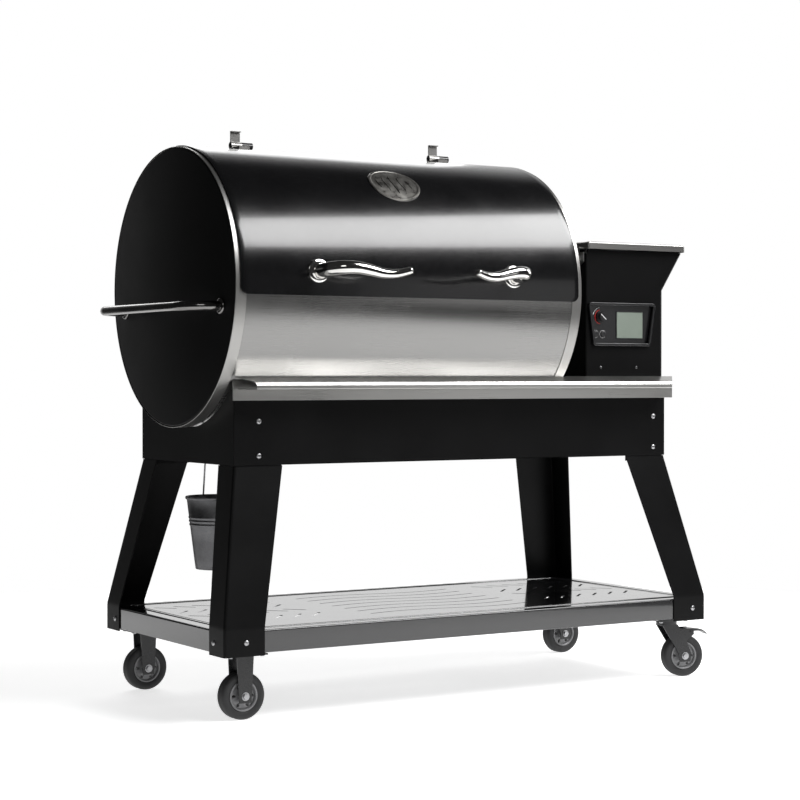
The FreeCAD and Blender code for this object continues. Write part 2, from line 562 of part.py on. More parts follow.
def make_insides():
    make_grate("cooking_grate_left", "cap_skin + grate_inset")
    make_grate("cooking_grate_right", "cap_skin + grate_inset + grate_length + grate_gap")

    fit = cylinder("rail_fit", ("0", "axis_y", "axis_height"), "x", "shell_inner", "barrel_length")
    rails = []
    for i, (drop, depth) in enumerate((("grate_z", "grate_depth"), ("tray_z", "tray_depth"))):
        for k, way in enumerate((-1, 1)):
            low_y = "axis_y + %s" % ("%s / 2 - rail_width / 2" % depth if way > 0
                                     else "-%s / 2 - rail_reach + rail_width / 2" % depth)
            bar = box("rail_%d_%d" % (i, k), ("cap_skin + cap_flange + 2", low_y, "%s - rail_thick" % drop),
                      ("barrel_length - 2 * (cap_skin + cap_flange + 2)", "rail_reach", "rail_thick"))
            rails.append(bar)
    node("inside_rails", common("inside_rails", group("rail_bars", *rails), fit))

    tilt = Rotation(Vector(0, 1, 0), -size_of("tray_tilt"))
    at = ("tray_inset", "axis_y - tray_depth / 2", "tray_z")
    pan = box("tray_block", at, ("tray_length", "tray_depth", "tray_wall"), tilt)
    room = box("tray_room", ("tray_inset + tray_skin", "axis_y - tray_depth / 2 + tray_skin",
                             "tray_z + tray_skin"),
               ("tray_length - 2 * tray_skin", "tray_depth - 2 * tray_skin", "tray_wall"), tilt)
    hole = cylinder("tray_hole", ("spout_x", "spout_y", "tray_z - 30"), "z",
                    "spout_radius - spout_wall", "60")
    node("grease_tray", cut("grease_tray", pan, room, hole))

    half = "deflector_depth / 2"
    node("heat_deflector", padded(
        "heat_deflector", ("barrel_mid - deflector_length / 2", "axis_y", "deflector_z"),
        "YZ_Plane",
        [("-(%s)" % half, "-deflector_leg"), ("-(%s) + deflector_skin" % half, "-deflector_leg"),
         ("-(%s) + deflector_skin" % half, "-deflector_skin"), ("0", "deflector_ridge - deflector_skin"),
         ("%s - deflector_skin" % half, "-deflector_skin"),
         ("%s - deflector_skin" % half, "-deflector_leg"), (half, "-deflector_leg"), (half, "0"),
         ("0", "deflector_ridge"), ("-(%s)" % half, "0")], "deflector_length"))

    cup = turned("pot_cup", ("barrel_mid", "axis_y", "pot_low"), "z",
                 [("0", "0"), ("pot_radius", "0"), ("pot_radius", "pot_height"),
                  ("pot_radius - pot_wall", "pot_height"), ("pot_radius - pot_wall", "pot_wall"),
                  ("0", "pot_wall")])
    port = cylinder("pot_port", ("barrel_mid", "axis_y", "auger_z"), "x", "auger_tube_radius", "200")
    spark = cylinder("pot_spark_hole", ("barrel_mid", "axis_y", "pot_low + 18"), "-x",
                     "igniter_radius", "100")
    node("fire_pot", cut("fire_pot", cup, port, spark))
    node("igniter_rod", cylinder("igniter_rod", ("barrel_mid - pot_radius + 20", "axis_y",
                                                 "pot_low + 18"), "-x", "igniter_radius",
                                 "igniter_length"))
    probe = cylinder("probe_stem", ("barrel_length - cap_skin - probe_length", "axis_y + 120",
                                    "axis_height + probe_rise"), "x", "probe_radius", "probe_length")
    gland = cylinder("probe_gland", ("barrel_length - cap_skin - 8", "axis_y + 120",
                                     "axis_height + probe_rise"), "x", "probe_radius * 2.5", "8")
    node("temperature_probe", fuse("temperature_probe", probe, gland))


# ---------------------------------------------------------------- auger and fan
def make_feed():
    at = ("auger_start", "axis_y", "auger_z")
    pipe = cylinder("auger_pipe", at, "x", "auger_tube_radius", "auger_end - auger_start")
    bore = cylinder("auger_bore", ("auger_start - 1", *at[1:]), "x",
                    "auger_tube_radius - auger_tube_wall", "auger_end - auger_start + 2")
    inlet = box("auger_inlet", ("throat_x", "axis_y - throat_depth / 2", "auger_z"),
                ("throat_length", "throat_depth", "auger_tube_radius + 5"))
    node("auger_tube", cut("auger_tube", pipe, bore, inlet))
    make_auger()

    gearbox = box("gearbox", ("gearbox_x", "axis_y - gearbox_width / 2", "auger_z - gearbox_height / 2"),
                  ("gearbox_length", "gearbox_width", "gearbox_height"))
    motor = cylinder("motor_can", ("gearbox_x + gearbox_length", "axis_y", "auger_z + 6"), "x",
                     "motor_radius", "motor_length")
    socket = cylinder("gearbox_socket", ("gearbox_x - 1", "axis_y", "auger_z"), "x",
                      "auger_shaft_radius + running_gap", "19")
    node("auger_motor", cut("auger_motor", fuse("motor_whole", gearbox, motor), socket))

    fan_at = ("fan_x", "fan_y", "fan_z")
    half = "fan_size / 2"
    frame = box("fan_frame", (fan_at[0], "%s - %s" % (fan_at[1], half), "%s - %s" % (fan_at[2], half)),
                ("fan_depth", "fan_size", "fan_size"))
    bore = cylinder("fan_bore", ("%s - 1" % fan_at[0], *fan_at[1:]), "x", "%s - fan_wall" % half,
                    "fan_depth + 2")
    spokes = [box("fan_spoke_%d" % i, ("%s + fan_depth - 3" % fan_at[0], "%s - %s" % (fan_at[1], dy),
                                       "%s - %s" % (fan_at[2], dz)), ("3", width, height))
              for i, (dy, dz, width, height) in enumerate(((half, "3", "fan_size", "6"),
                                                           ("3", half, "6", "fan_size")))]
    pin = cylinder("fan_pin", ("%s + 6" % fan_at[0], *fan_at[1:]), "x", "fan_pin_radius",
                   "fan_depth - 6")
    node("fan_housing", fuse("fan_housing", cut("fan_ring", frame, bore), *spokes, pin))

    hub = cylinder("fan_hub", ("%s + 5" % fan_at[0], *fan_at[1:]), "x", "fan_hub_radius", "fan_depth - 11")
    hole = cylinder("fan_hub_bore", ("%s + 4" % fan_at[0], *fan_at[1:]), "x",
                    "fan_pin_radius + running_gap", "fan_depth")
    blades = []
    for i in range(7):
        turn = AXES["x"].multiply(Rotation(Vector(0, 0, 1), 360 / 7 * i))
        turn = turn.multiply(Rotation(Vector(1, 0, 0), 38))
        blade = doc.addObject("Part::Box", "fan_blade_%d" % i)
        bind(blade, "Length", "fan_size / 2 - fan_wall - fan_blade_gap")
        bind(blade, "Width", "fan_blade_thick")
        bind(blade, "Height", "22")
        blades.append(place(blade, ("%s + 9" % fan_at[0], *fan_at[1:]), turn))
    node("fan_impeller", cut("fan_impeller", fuse("fan_rotor", hub, *blades), hole))


def make_auger():
    """A screw whose flight is a ribbon wound round the shaft, ending in the gearbox."""
    at = ("auger_start + 8", "axis_y", "auger_z")
    shaft = cylinder("auger_shaft", at, "x", "auger_shaft_radius", "gearbox_x + 16 - auger_start - 8")
    body = doc.addObject("PartDesign::Body", "auger_flight")
    sketch = outline(body, "XZ_Plane",
                     [("auger_shaft_radius - 1", "0"), ("flight_radius", "0"),
                      ("flight_radius", "flight_thick"), ("auger_shaft_radius - 1", "flight_thick")])
    helix = body.newObject("PartDesign::AdditiveHelix", "auger_helix")
    helix.Profile = sketch
    helix.ReferenceAxis = (sketch, ["V_Axis"])
    helix.Mode = 0
    bind(helix, "Pitch", "auger_pitch")
    bind(helix, "Height", "auger_end - auger_start - 20 - flight_thick")
    body.Tip = helix
    flight = place(body, at, AXES["x"])
    node("auger_screw", fuse("auger_screw", shaft, flight))


# ---------------------------------------------------------------- drip pipe, hook and bucket
def make_drip():
    at = ("spout_x", "spout_y", "spout_low")
    tray_gap = "tray_z - 4 - spout_low"
    pipe = cylinder("spout_pipe", at, "z", "spout_radius", tray_gap)
    bore = cylinder("spout_bore", ("spout_x", "spout_y", "spout_low - 1"), "z",
                    "spout_radius - spout_wall", "%s + 2" % tray_gap)
    x, y, z = size_of("spout_x"), size_of("spout_y"), size_of("hook_low")
    lift = size_of("apron_low") + 100 - z
    reach, wire = size_of("hook_reach"), size_of("hook_wire")
    hook = bent_rod("hook_rod", [(x - reach, y, z + lift), (x - reach, y, z - wire),
                                 (x + reach / 2, y, z - wire), (x + reach / 2, y, z + 16)],
                    "hook_wire", 8)
    below = cylinder("hook_trim", ("-100", "axis_y", "axis_height"), "x", "shell_radius",
                     "barrel_length + 200")
    node("drip_spout", group("drip_spout", cut("drip_pipe", pipe, bore), cut("bucket_hook", hook, below)))

    taper = "(bucket_radius - bucket_foot_radius) / bucket_height"
    bucket_low = "bucket_rim - bucket_height"
    pail = turned("bucket_pail", ("spout_x", "spout_y", bucket_low), "z",
                  [("0", "0"), ("bucket_foot_radius", "0"), ("bucket_radius", "bucket_height - 5"),
                   ("bucket_radius + bucket_bead", "bucket_height - 5"),
                   ("bucket_radius + bucket_bead", "bucket_height"),
                   ("bucket_radius - bucket_skin", "bucket_height"),
                   ("bucket_foot_radius - bucket_skin + %s * 1.2" % taper, "bucket_skin"),
                   ("0", "bucket_skin")])
    ears = [cylinder("bucket_ear_%d" % i, ("spout_x", "spout_y + %d * (bucket_radius - 1.5)" % way,
                                           "ear_z"), "y" if way > 0 else "-y", "bail_wire * 1.2",
                     "ear_length + bucket_bead + 1")
            for i, way in enumerate((-1, 1))]
    hollow = cylinder("bucket_hollow", ("spout_x", "spout_y", "ear_z - 6"), "z",
                      "bucket_radius - bucket_skin - %s * 15" % taper, "14")
    node("grease_bucket", fuse("grease_bucket", pail, cut("bucket_ears", group("ear_pair", *ears), hollow)))

    top, knee = size_of("bail_top"), size_of("bail_knee")
    side = size_of("bucket_radius") + size_of("bucket_bead") + size_of("bail_gap") + 2
    ear, lean = size_of("ear_z"), size_of("bail_lean")
    loop = bent_rod("bail_loop", [(x, y - side, ear), (x, y - side + lean, knee), (x, y - 16, top),
                                  (x, y + 16, top), (x, y + side - lean, knee), (x, y + side, ear)],
                    "bail_wire", 14)
    eyes, holes = [], []
    for i, way in enumerate((-1, 1)):
        low_y = "spout_y + %d * (bucket_radius + bucket_bead + bail_gap)" % way
        low_y += "" if way > 0 else " - 4"
        eyes.append(cylinder("bail_eye_%d" % i, ("spout_x", low_y, "ear_z"), "y", "bail_wire * 2.6", "4"))
        holes.append(cylinder("bail_hole_%d" % i, ("spout_x", "%s - 3" % low_y, "ear_z"), "y",
                              "bail_wire * 1.2 + running_gap", "10"))
    node("bucket_bail", cut("bucket_bail", fuse("bail_whole", loop, *eyes), *holes))


# ---------------------------------------------------------------- hopper
def make_hopper():
    at = ("hopper_left", "0", "0")
    skin, corner = "hopper_skin", "hopper_corner"
    neck = nosed("0", "0", "hopper_length", "apron_depth", corner)
    outer = lofted("hopper_outer", at, [
        ("apron_high", neck), ("hopper_neck", neck),
        ("hopper_high", nosed("0", "0", "hopper_length + hopper_flare", "apron_depth", corner))])
    corner += " - corner_inset * hopper_skin"
    neck = nosed(skin, skin, "hopper_length - hopper_skin", "apron_depth - hopper_skin", corner)
    top = nosed(skin, skin, "hopper_length + hopper_flare - hopper_skin * 1.2",
                "apron_depth - hopper_skin", corner)
    inner = lofted("hopper_inner", at, [("apron_high - 1", neck), ("hopper_neck + 0.5", neck),
                                        ("hopper_high", top), ("hopper_high + 5", top)])
    window = panel_prism("hopper_window", "-5", "bezel_width / 2", "30")
    inlet = box("inlet_window", ("hopper_left + hopper_length / 2 - inlet_width / 2 + 5",
                                 "apron_depth - 10", "inlet_rise + 5"),
                ("inlet_width - 10", "20", "inlet_height - 10"))
    node("hopper_box", cut("hopper_box", outer, inner, window, inlet))

    low, high = "auger_z + auger_tube_radius + 1", "chute_high"
    mid = ("throat_x - hopper_left", "axis_y - throat_depth / 2",
           "throat_x - hopper_left + throat_length", "axis_y + throat_depth / 2")
    wide = ("hopper_skin + 0.5", "hopper_skin + 0.5", "hopper_length - hopper_skin - 0.5",
            "apron_depth - hopper_skin - 0.5")
    wall = "chute_skin"
    outside = lofted("chute_outside", at, [(low, nosed(*mid, "throat_corner")),
                                           ("apron_high + 2", nosed(*mid, "throat_corner")),
                                           (high, nosed(*wide, "hopper_corner"))])
    bore = ["%s %s %s" % (edge, sign, wall) for edge, sign in zip(mid, "++--")]
    mouth = ["%s %s %s" % (edge, sign, wall) for edge, sign in zip(wide, "++--")]
    tight = "throat_corner - corner_inset * chute_skin"
    loose = "hopper_corner - corner_inset * chute_skin"
    inside = lofted("chute_inside", at, [("%s - 1" % low, nosed(*bore, tight)),
                                         ("apron_high + 2", nosed(*bore, tight)),
                                         ("%s + 0.5" % high, nosed(*mouth, loose))])
    node("hopper_chute", cut("hopper_chute", outside, inside))

    wires = []
    for i in range(1, 6):
        wires.append(cylinder("guard_long_%d" % i,
                              ("hopper_left + hopper_length / 6 * %d" % i, "hopper_skin", "chute_high + 4"),
                              "y", "guard_wire", "apron_depth - 2 * hopper_skin"))
    for i in range(1, 4):
        wires.append(cylinder("guard_short_%d" % i,
                              ("hopper_left + hopper_skin", "apron_depth / 4 * %d" % i,
                               "chute_high + 4"), "x", "guard_wire", "hopper_length - 2 * hopper_skin"))
    node("hopper_guard", fuse("hopper_guard", *wires))
    make_hopper_lid()


def make_hopper_lid():
    over = "hopper_lid_over"
    at = ("hopper_left - hopper_lid_left", "-%s" % over, "hopper_lid_z")
    wide, deep = "hopper_length + hopper_flare + hopper_lid_left + 1", "apron_depth + 2 * %s" % over
    skin = "hopper_lid_skin"
    pan_outline = nosed("0", "0", wide, deep, "hopper_corner")
    room_outline = nosed(skin, skin, "%s - %s" % (wide, skin), "%s - %s" % (deep, skin),
                         "hopper_corner - corner_inset * hopper_lid_skin")
    pan = lofted("lid_pan_block", at, [("0", pan_outline), ("hopper_lid_height", pan_outline)])
    room = lofted("lid_pan_room", at, [("-1", room_outline), ("hopper_lid_height - hopper_lid_skin",
                                                              room_outline)])
    ears, brackets, ties = [], [], []
    for i, y in enumerate(("ear_back", "apron_depth - ear_back - ear_depth")):
        eye = "lid_pin_x", "%s + ear_depth / 2 - 7" % y, "lid_pin_z"
        knuckle = cylinder("hopper_eye_%d" % i, eye, "y", "5.5", "14")
        arm = box("hopper_arm_%d" % i, ("lid_pin_x - 5.5", eye[1], "lid_pin_z"),
                  ("11", "14", "hopper_lid_z + 4 - lid_pin_z"))
        tie = box("hopper_tie_%d" % i, ("lid_pin_x - 5.5", y, "hopper_lid_z + 1"),
                  ("hopper_left - lid_pin_x + 12", "ear_depth", "3"))
        hole = cylinder("hopper_eye_bore_%d" % i, ("lid_pin_x", "%s - 1" % eye[1], "lid_pin_z"), "y",
                        "lid_pin_radius + running_gap", "16")
        ears.append(cut("hopper_ear_%d" % i, fuse("hopper_ear_whole_%d" % i, knuckle, arm, tie), hole))
        ties.append(tie)
        brackets.append(make_bracket(i, y))
    node("hopper_lid", group("hopper_lid", cut("lid_pan", pan, room, *ties), *ears))
    node("hopper_lid_brackets", group("hopper_lid_brackets", *brackets))


def make_bracket(i, y):
    """A gusset on the hopper's left wall with two cheeks that hold the lid's pin."""
    plate = padded("gusset_%d" % i, ("hopper_left - bracket_skin", y, "0"), "YZ_Plane",
                   [("0", "lid_pin_z - 8"), ("ear_depth / 2 - 6", "lid_pin_z + 14 - ear_high"),
                    ("ear_depth / 2 + 6", "lid_pin_z + 14 - ear_high"), ("ear_depth", "lid_pin_z - 8"),
                    ("ear_depth", "lid_pin_z + 14"), ("0", "lid_pin_z + 14")], "bracket_skin")
    cheeks = [box("gusset_cheek_%d_%d" % (i, k), ("lid_pin_x - 6", "%s + ear_depth / 2 + %s" % (y, shift),
                                                  "lid_pin_z - 6"),
                  ("hopper_left - lid_pin_x + 5", "3", "12"))
              for k, shift in enumerate(("-10.5", "7.5"))]
    pin = cylinder("lid_pin_%d" % i, ("lid_pin_x", "%s + ear_depth / 2 - 11.5" % y, "lid_pin_z"), "y",
                   "lid_pin_radius", "23")
    return fuse("gusset_whole_%d" % i, plate, *cheeks, pin)


# ---------------------------------------------------------------- controller
def panel_prism(name, y, inset, depth):
    """The controller's outline, narrower at the foot, as a block that starts at y and runs back."""
    points = [("panel_low_cut + %s" % inset, "%s" % inset),
              ("panel_width - panel_low_cut - (%s)" % inset, "%s" % inset),
              ("panel_width - (%s)" % inset, "panel_height - (%s)" % inset),
              (inset, "panel_height - (%s)" % inset)]
    return padded(name, ("panel_x", "%s + %s" % (y, depth), "panel_low"), "XZ_Plane", points, depth)


def make_controller():
    frame = panel_prism("bezel_block", "panel_y", "0", "panel_proud - 0.2")
    hole = panel_prism("bezel_hole", "panel_y - 5", "bezel_width", "40")
    node("control_bezel", cut("control_bezel", frame, hole))

    face = panel_prism("panel_face", "face_y", "bezel_width / 2 + 0.2", "2")
    back = panel_prism("panel_back", "face_y + 2", "bezel_width", "housing_depth - 2")
    low_z = "panel_low + button_low"
    holes = [cylinder("button_hole_%d" % i, ("panel_x + button_x + button_step * %d" % i,
                                             "face_y - 5", low_z), "y", "stem_radius + 0.3",
                      "5 + stem_length + button_travel + 1.5")
             for i in range(2)]
    holes.append(cylinder("knob_hole", ("panel_x + knob_x", "face_y - 5", "panel_low + knob_low"), "y",
                          "stem_radius + running_gap", "5 + stem_length + 0.5"))
    node("control_panel", cut("control_panel", fuse("panel_whole", face, back), *holes))

    node("control_screen", box("control_screen", ("panel_x + screen_left", "face_y - screen_thick",
                                                  "panel_low + screen_low"),
                               ("screen_width", "screen_thick", "screen_height")))
    node("control_knob", turned("control_knob", ("panel_x + knob_x", "face_y + stem_length",
                                                 "panel_low + knob_low"), "-y",
                                [("0", "0"), ("stem_radius", "0"), ("stem_radius", "stem_length + 0.4"),
                                 ("knob_radius", "stem_length + 0.4"),
                                 ("knob_radius", "stem_length + knob_proud - 4"),
                                 ("knob_radius - 2", "stem_length + knob_proud"),
                                 ("0", "stem_length + knob_proud")]))
    for i, name in enumerate(("control_button_left", "control_button_right")):
        node(name, turned(name, ("panel_x + button_x + button_step * %d" % i, "face_y + stem_length",
                                 low_z), "-y",
                          [("0", "0"), ("stem_radius", "0"),
                           ("stem_radius", "stem_length + button_travel + 0.3"),
                           ("button_radius", "stem_length + button_travel + 0.3"),
                           ("button_radius", "stem_length + button_travel + button_proud - 1"),
                           ("button_radius - 1", "stem_length + button_travel + button_proud"),
                           ("0", "stem_length + button_travel + button_proud")]))

    mid = "hopper_left + hopper_length / 2"
    flange = box("inlet_flange", ("%s - inlet_width / 2" % mid, "apron_depth", "inlet_rise"),
                 ("inlet_width", "2.5", "inlet_height"))
    body = box("inlet_body", ("%s - inlet_width / 2 + 5" % mid, "apron_depth - inlet_depth",
                              "inlet_rise + 5"),
               ("inlet_width - 10", "inlet_depth + 2.5", "inlet_height - 10"))
    socket = box("inlet_socket", ("%s - inlet_width / 2 + 8" % mid, "apron_depth - inlet_depth + 3",
                                  "inlet_rise + 8"),
                 ("inlet_width - 16", "inlet_depth + 5", "inlet_height - 16"))
    blades = [box("inlet_blade_%d" % i, ("%s + %s" % (mid, dx), "apron_depth - inlet_depth + 2",
                                         "inlet_rise + inlet_height / 2 - 2"), ("2", "14", "4"))
              for i, dx in enumerate(("-8", "-1", "6"))]
    shell = cut("inlet_shell", fuse("inlet_block", flange, body), socket)
    node("power_inlet", fuse("power_inlet", shell, *blades))


# ---------------------------------------------------------------- cart
def make_apron():
    seat = cylinder("barrel_seat", ("-200", "axis_y", "axis_height"), "x",
                    "barrel_radius + barrel_seat_gap", "barrel_length + 200 + 6")
    tall = "apron_high - apron_low"
    for name, y in (("apron_front", "0"), ("apron_back", "apron_depth - apron_skin")):
        wall = box(name + "_wall", ("apron_left", y, "apron_low"), ("apron_length", "apron_skin", tall))
        lip_y = "0" if name == "apron_front" else "apron_depth - apron_lip"
        lip = box(name + "_lip", ("apron_left + leg_front_top + 2", lip_y, "apron_low"),
                  ("apron_length - 2 * leg_front_top - 4", "apron_lip", "apron_skin"))
        node(name, fuse(name, wall, lip))
    ends = []
    for side, x, lip_x in (("left", "apron_left", "apron_left"),
                           ("right", "apron_right - apron_skin", "apron_right - apron_lip")):
        wall = box("apron_%s_wall" % side, (x, "apron_skin", "apron_low"),
                   ("apron_skin", "apron_depth - 2 * apron_skin", tall))
        lip = box("apron_%s_lip" % side, (lip_x, "leg_side_top + 2", "apron_low"),
                  ("apron_lip", "apron_depth - 2 * leg_side_top - 4", "apron_skin"))
        whole = fuse("apron_%s_whole" % side, wall, lip)
        ends.append(cut("apron_end_" + side, whole, seat) if side == "left" else whole)
    node("apron_ends", group("apron_ends", *ends))


def make_legs():
    """L-section legs: upright inside the apron, splayed below it, upright again at the foot."""
    for name, way_x, way_y, corner_x, corner_y, foot in (
            ("leg_front_left", 1, 1, "apron_left", "0", "leg_splay_x"),
            ("leg_front_right", -1, 1, "apron_right", "0", "foot_right - apron_right"),
            ("leg_rear_left", 1, -1, "apron_left", "apron_depth", "leg_splay_x"),
            ("leg_rear_right", -1, -1, "apron_right", "apron_depth", "foot_right - apron_right")):
        def section(inset, width, depth, out_x, out_y):
            def at(dx, dy):
                return ("%d * (%s + %s - (%s))" % (way_x, inset, dx, out_x),
                        "%d * (%s + %s - (%s))" % (way_y, inset, dy, out_y))
            return [at("0", "0"), at(width, "0"), at(width, "leg_skin"),
                    at("leg_skin", "leg_skin"), at("leg_skin", depth), at("0", depth)]
        top = section("apron_skin", "leg_front_top - apron_skin", "leg_side_top - apron_skin", "0", "0")
        hem = section("0", "leg_front_top", "leg_side_top", "0", "0")
        knee = section("0", "leg_front_low", "leg_side_low", foot, "leg_splay_y")
        upper = lofted(name + "_upper", (corner_x, corner_y, "0"),
                       [("apron_low - 12", top), ("apron_low + 118", top)])
        flare = lofted(name + "_flare", (corner_x, corner_y, "0"),
                       [("apron_low - 1", hem), ("leg_knee", knee), ("leg_low", knee)])
        node(name, fuse(name, upper, flare))


def make_shelf():
    low_x, high_x = "foot_left + leg_skin", "foot_right - leg_skin"
    low_y, high_y = "foot_front + leg_skin", "foot_back - leg_skin"
    size = ("%s - (%s)" % (high_x, low_x), "%s - (%s)" % (high_y, low_y))
    block = box("shelf_block", (low_x, low_y, "shelf_low"), (*size, "shelf_high - shelf_low"))
    room = box("shelf_room", ("%s + shelf_skin" % low_x, "%s + shelf_skin" % low_y,
                              "shelf_low + shelf_skin"),
               ("%s - 2 * shelf_skin" % size[0], "%s - 2 * shelf_skin" % size[1],
                "shelf_high - shelf_low - 2 * shelf_skin"))
    floor = box("shelf_floor", ("%s + shelf_lip" % low_x, "%s + shelf_lip" % low_y, "shelf_low - 1"),
                ("%s - 2 * shelf_lip" % size[0], "%s - 2 * shelf_lip" % size[1], "shelf_skin + 2"))
    node("bottom_shelf", cut("bottom_shelf", block, room, floor))


def make_ledge():
    """The bright ledge along the front: a folded sheet that slopes forward, with slanted ends."""
    skin = "ledge_skin"
    fold = padded("ledge_fold", ("apron_left + ledge_start", "0", "0"), "YZ_Plane",
                  [("0", "ledge_back"), ("-ledge_depth + 5", "ledge_front + 1"),
                   ("-ledge_depth", "ledge_front - 5"), ("-ledge_depth", "ledge_low"),
                   ("-14", "ledge_low"), ("-14", "ledge_low + ledge_skin"),
                   ("-ledge_depth + ledge_skin", "ledge_low + ledge_skin"),
                   ("-ledge_depth + ledge_skin", "ledge_front - 5"),
                   ("-ledge_depth + 5.5", "ledge_front - 0.7"),
                   ("-%s" % skin, "ledge_back - 1.5"), ("-%s" % skin, "ledge_low - 24"),
                   ("0", "ledge_low - 24")],
                  "apron_length - ledge_start + ledge_end")
    barrel = cylinder("ledge_barrel", ("0", "axis_y", "axis_height"), "x", "barrel_radius + 0.5",
                      "barrel_length")
    left = padded("ledge_left_cut", ("apron_left + ledge_start", "0", "ledge_low - 30"), "XY_Plane",
                  [("-1", "1"), ("-1", "-ledge_depth - 1"), ("ledge_left_cut", "-ledge_depth - 1"),
                   ("ledge_left_cut", "-ledge_depth"), ("0", "0"), ("0", "1")], "100")
    right = padded("ledge_right_cut", ("apron_right + ledge_end", "0", "ledge_low - 30"), "XY_Plane",
                   [("1", "1"), ("1", "-ledge_depth - 1"), ("-ledge_right_cut", "-ledge_depth - 1"),
                    ("-ledge_right_cut", "-ledge_depth"), ("0", "0"), ("0", "1")], "100")
    node("front_ledge", cut("front_ledge", fold, barrel, left, right))


def make_screws():
    heads = []
    for x in ("apron_left + 60", "apron_right - 35"):
        for z in ("apron_low + 94", "apron_low + 20"):
            heads.append((x, "0", z, "-y"))
            heads.append((x, "apron_depth", z, "y"))
    for x in ("foot_left + 52", "foot_right - 39"):
        heads.append((x, "foot_front", "leg_low + 29", "-y"))
        heads.append((x, "foot_back", "leg_low + 29", "y"))
    for y in ("foot_front + 50", "foot_back - 50"):
        heads.append(("foot_left", y, "leg_low + 27", "-x"))
        heads.append(("foot_right", y, "leg_low + 27", "x"))
    for x in ("hopper_left + 45", "hopper_left + 152"):
        heads.append((x, "0", "ledge_back + 21", "-y"))
    node("screws", group("screws", *[
        turned("screw_%d" % i, (x, y, z), along,
               [("0", "0"), ("screw_radius", "0"), ("screw_radius", "screw_head * 0.3"),
                ("screw_radius * 0.55", "screw_head"), ("0", "screw_head")])
        for i, (x, y, z, along) in enumerate(heads)]))


# ---------------------------------------------------------------- casters
def make_wheel(name, x, y, yaw=0):
    """A tyre on a hub, with its axle along the depth."""
    turn = Rotation(Vector(0, 0, 1), yaw).multiply(AXES["y"])
    half = "wheel_width / 2"
    tyre = turned("tyre_" + name, ("0", "0", "0"), "y",
                  [("hub_radius", "-(%s) + 3" % half), ("wheel_radius - 7", "-(%s)" % half),
                   ("wheel_radius - 2", "-(%s) + 3" % half), ("wheel_radius", "-(%s) + 9" % half),
                   ("wheel_radius", "%s - 9" % half), ("wheel_radius - 2", "%s - 3" % half),
                   ("wheel_radius - 7", half), ("hub_radius", "%s - 3" % half)])
    hub = turned("hub_" + name, ("0", "0", "0"), "y",
                 [("axle_radius + running_gap", "-(%s)" % half), ("12", "-(%s)" % half),
                  ("12", "-6"), ("hub_radius - 5", "-6"), ("hub_radius - 5", "-(%s) + 3" % half),
                  ("hub_radius", "-(%s) + 3" % half), ("hub_radius", "%s - 3" % half),
                  ("hub_radius - 5", "%s - 3" % half), ("hub_radius - 5", "6"), ("12", "6"),
                  ("12", half), ("axle_radius + running_gap", half)])
    for piece in (tyre, hub):
        place(piece, (x, y, "wheel_radius"), turn)
    node("wheel_" + name, group("wheel_" + name, tyre, hub))


def cheeks(name, x, y, top_x, high, yaw, lug=()):
    """Two fork cheeks from under the plate down past the axle, with the axle bolt."""
    pieces = []
    spin = Rotation(Vector(0, 0, 1), yaw)
    wide = "fork_width / 2"
    shape = [("-14", "-14"), ("14", "-14"), ("16", "6"), *lug,
             ("%s + %s" % (top_x, wide), high), ("%s - %s" % (top_x, wide), high), ("-16", "6")]
    for i, way in enumerate((-1, 1)):
        shift = "fork_half + fork_skin" if way > 0 else "-fork_half"
        cheek = padded("%s_cheek_%d" % (name, i), ("0", "0", "0"), "XZ_Plane", shape, "fork_skin")
        offset = spin.multVec(Vector(0, 1, 0))
        place(cheek, ("%s + (%s) * %f" % (x, shift, offset.x), "%s + (%s) * %f" % (y, shift, offset.y),
                      "wheel_radius"), spin)
        pieces.append(cheek)
    long = "2 * (fork_half + fork_skin + 4)"
    back = spin.multVec(Vector(0, -0.5, 0))
    axle = cylinder(name + "_axle", ("%s + %s * %f" % (x, long, back.x), "%s + %s * %f" % (y, long, back.y),
                                     "wheel_radius"), "y", "axle_radius", long, spin.multiply(AXES["y"]))
    return pieces + [axle]


def make_casters():
    rigid = []
    high = "plate_z - wheel_radius"
    for side, y in (("front", "caster_front"), ("rear", "caster_back")):
        plate = box("rigid_plate_" + side, ("caster_left - plate_length / 2", "%s - plate_width / 2" % y,
                                            "plate_z"), ("plate_length", "plate_width", "plate_thick"))
        roof = box("rigid_roof_" + side, ("caster_left - fork_width / 2", "%s - fork_half" % y,
                                          "plate_z - fork_skin"),
                   ("fork_width", "2 * fork_half", "fork_skin"))
        parts = cheeks("rigid_" + side, "caster_left", y, "0", high, 0)
        rigid.append(fuse("rigid_fork_" + side, plate, roof, *parts))
        make_wheel(side + "_left", "caster_left", y)
    plates = []
    for side, y, yaw in (("front", "caster_front", size_of("caster_yaw")), ("rear", "caster_back", 0)):
        make_swivel(side, y, yaw, plates)
    node("caster_mounts", group("caster_mounts", *rigid, *plates))


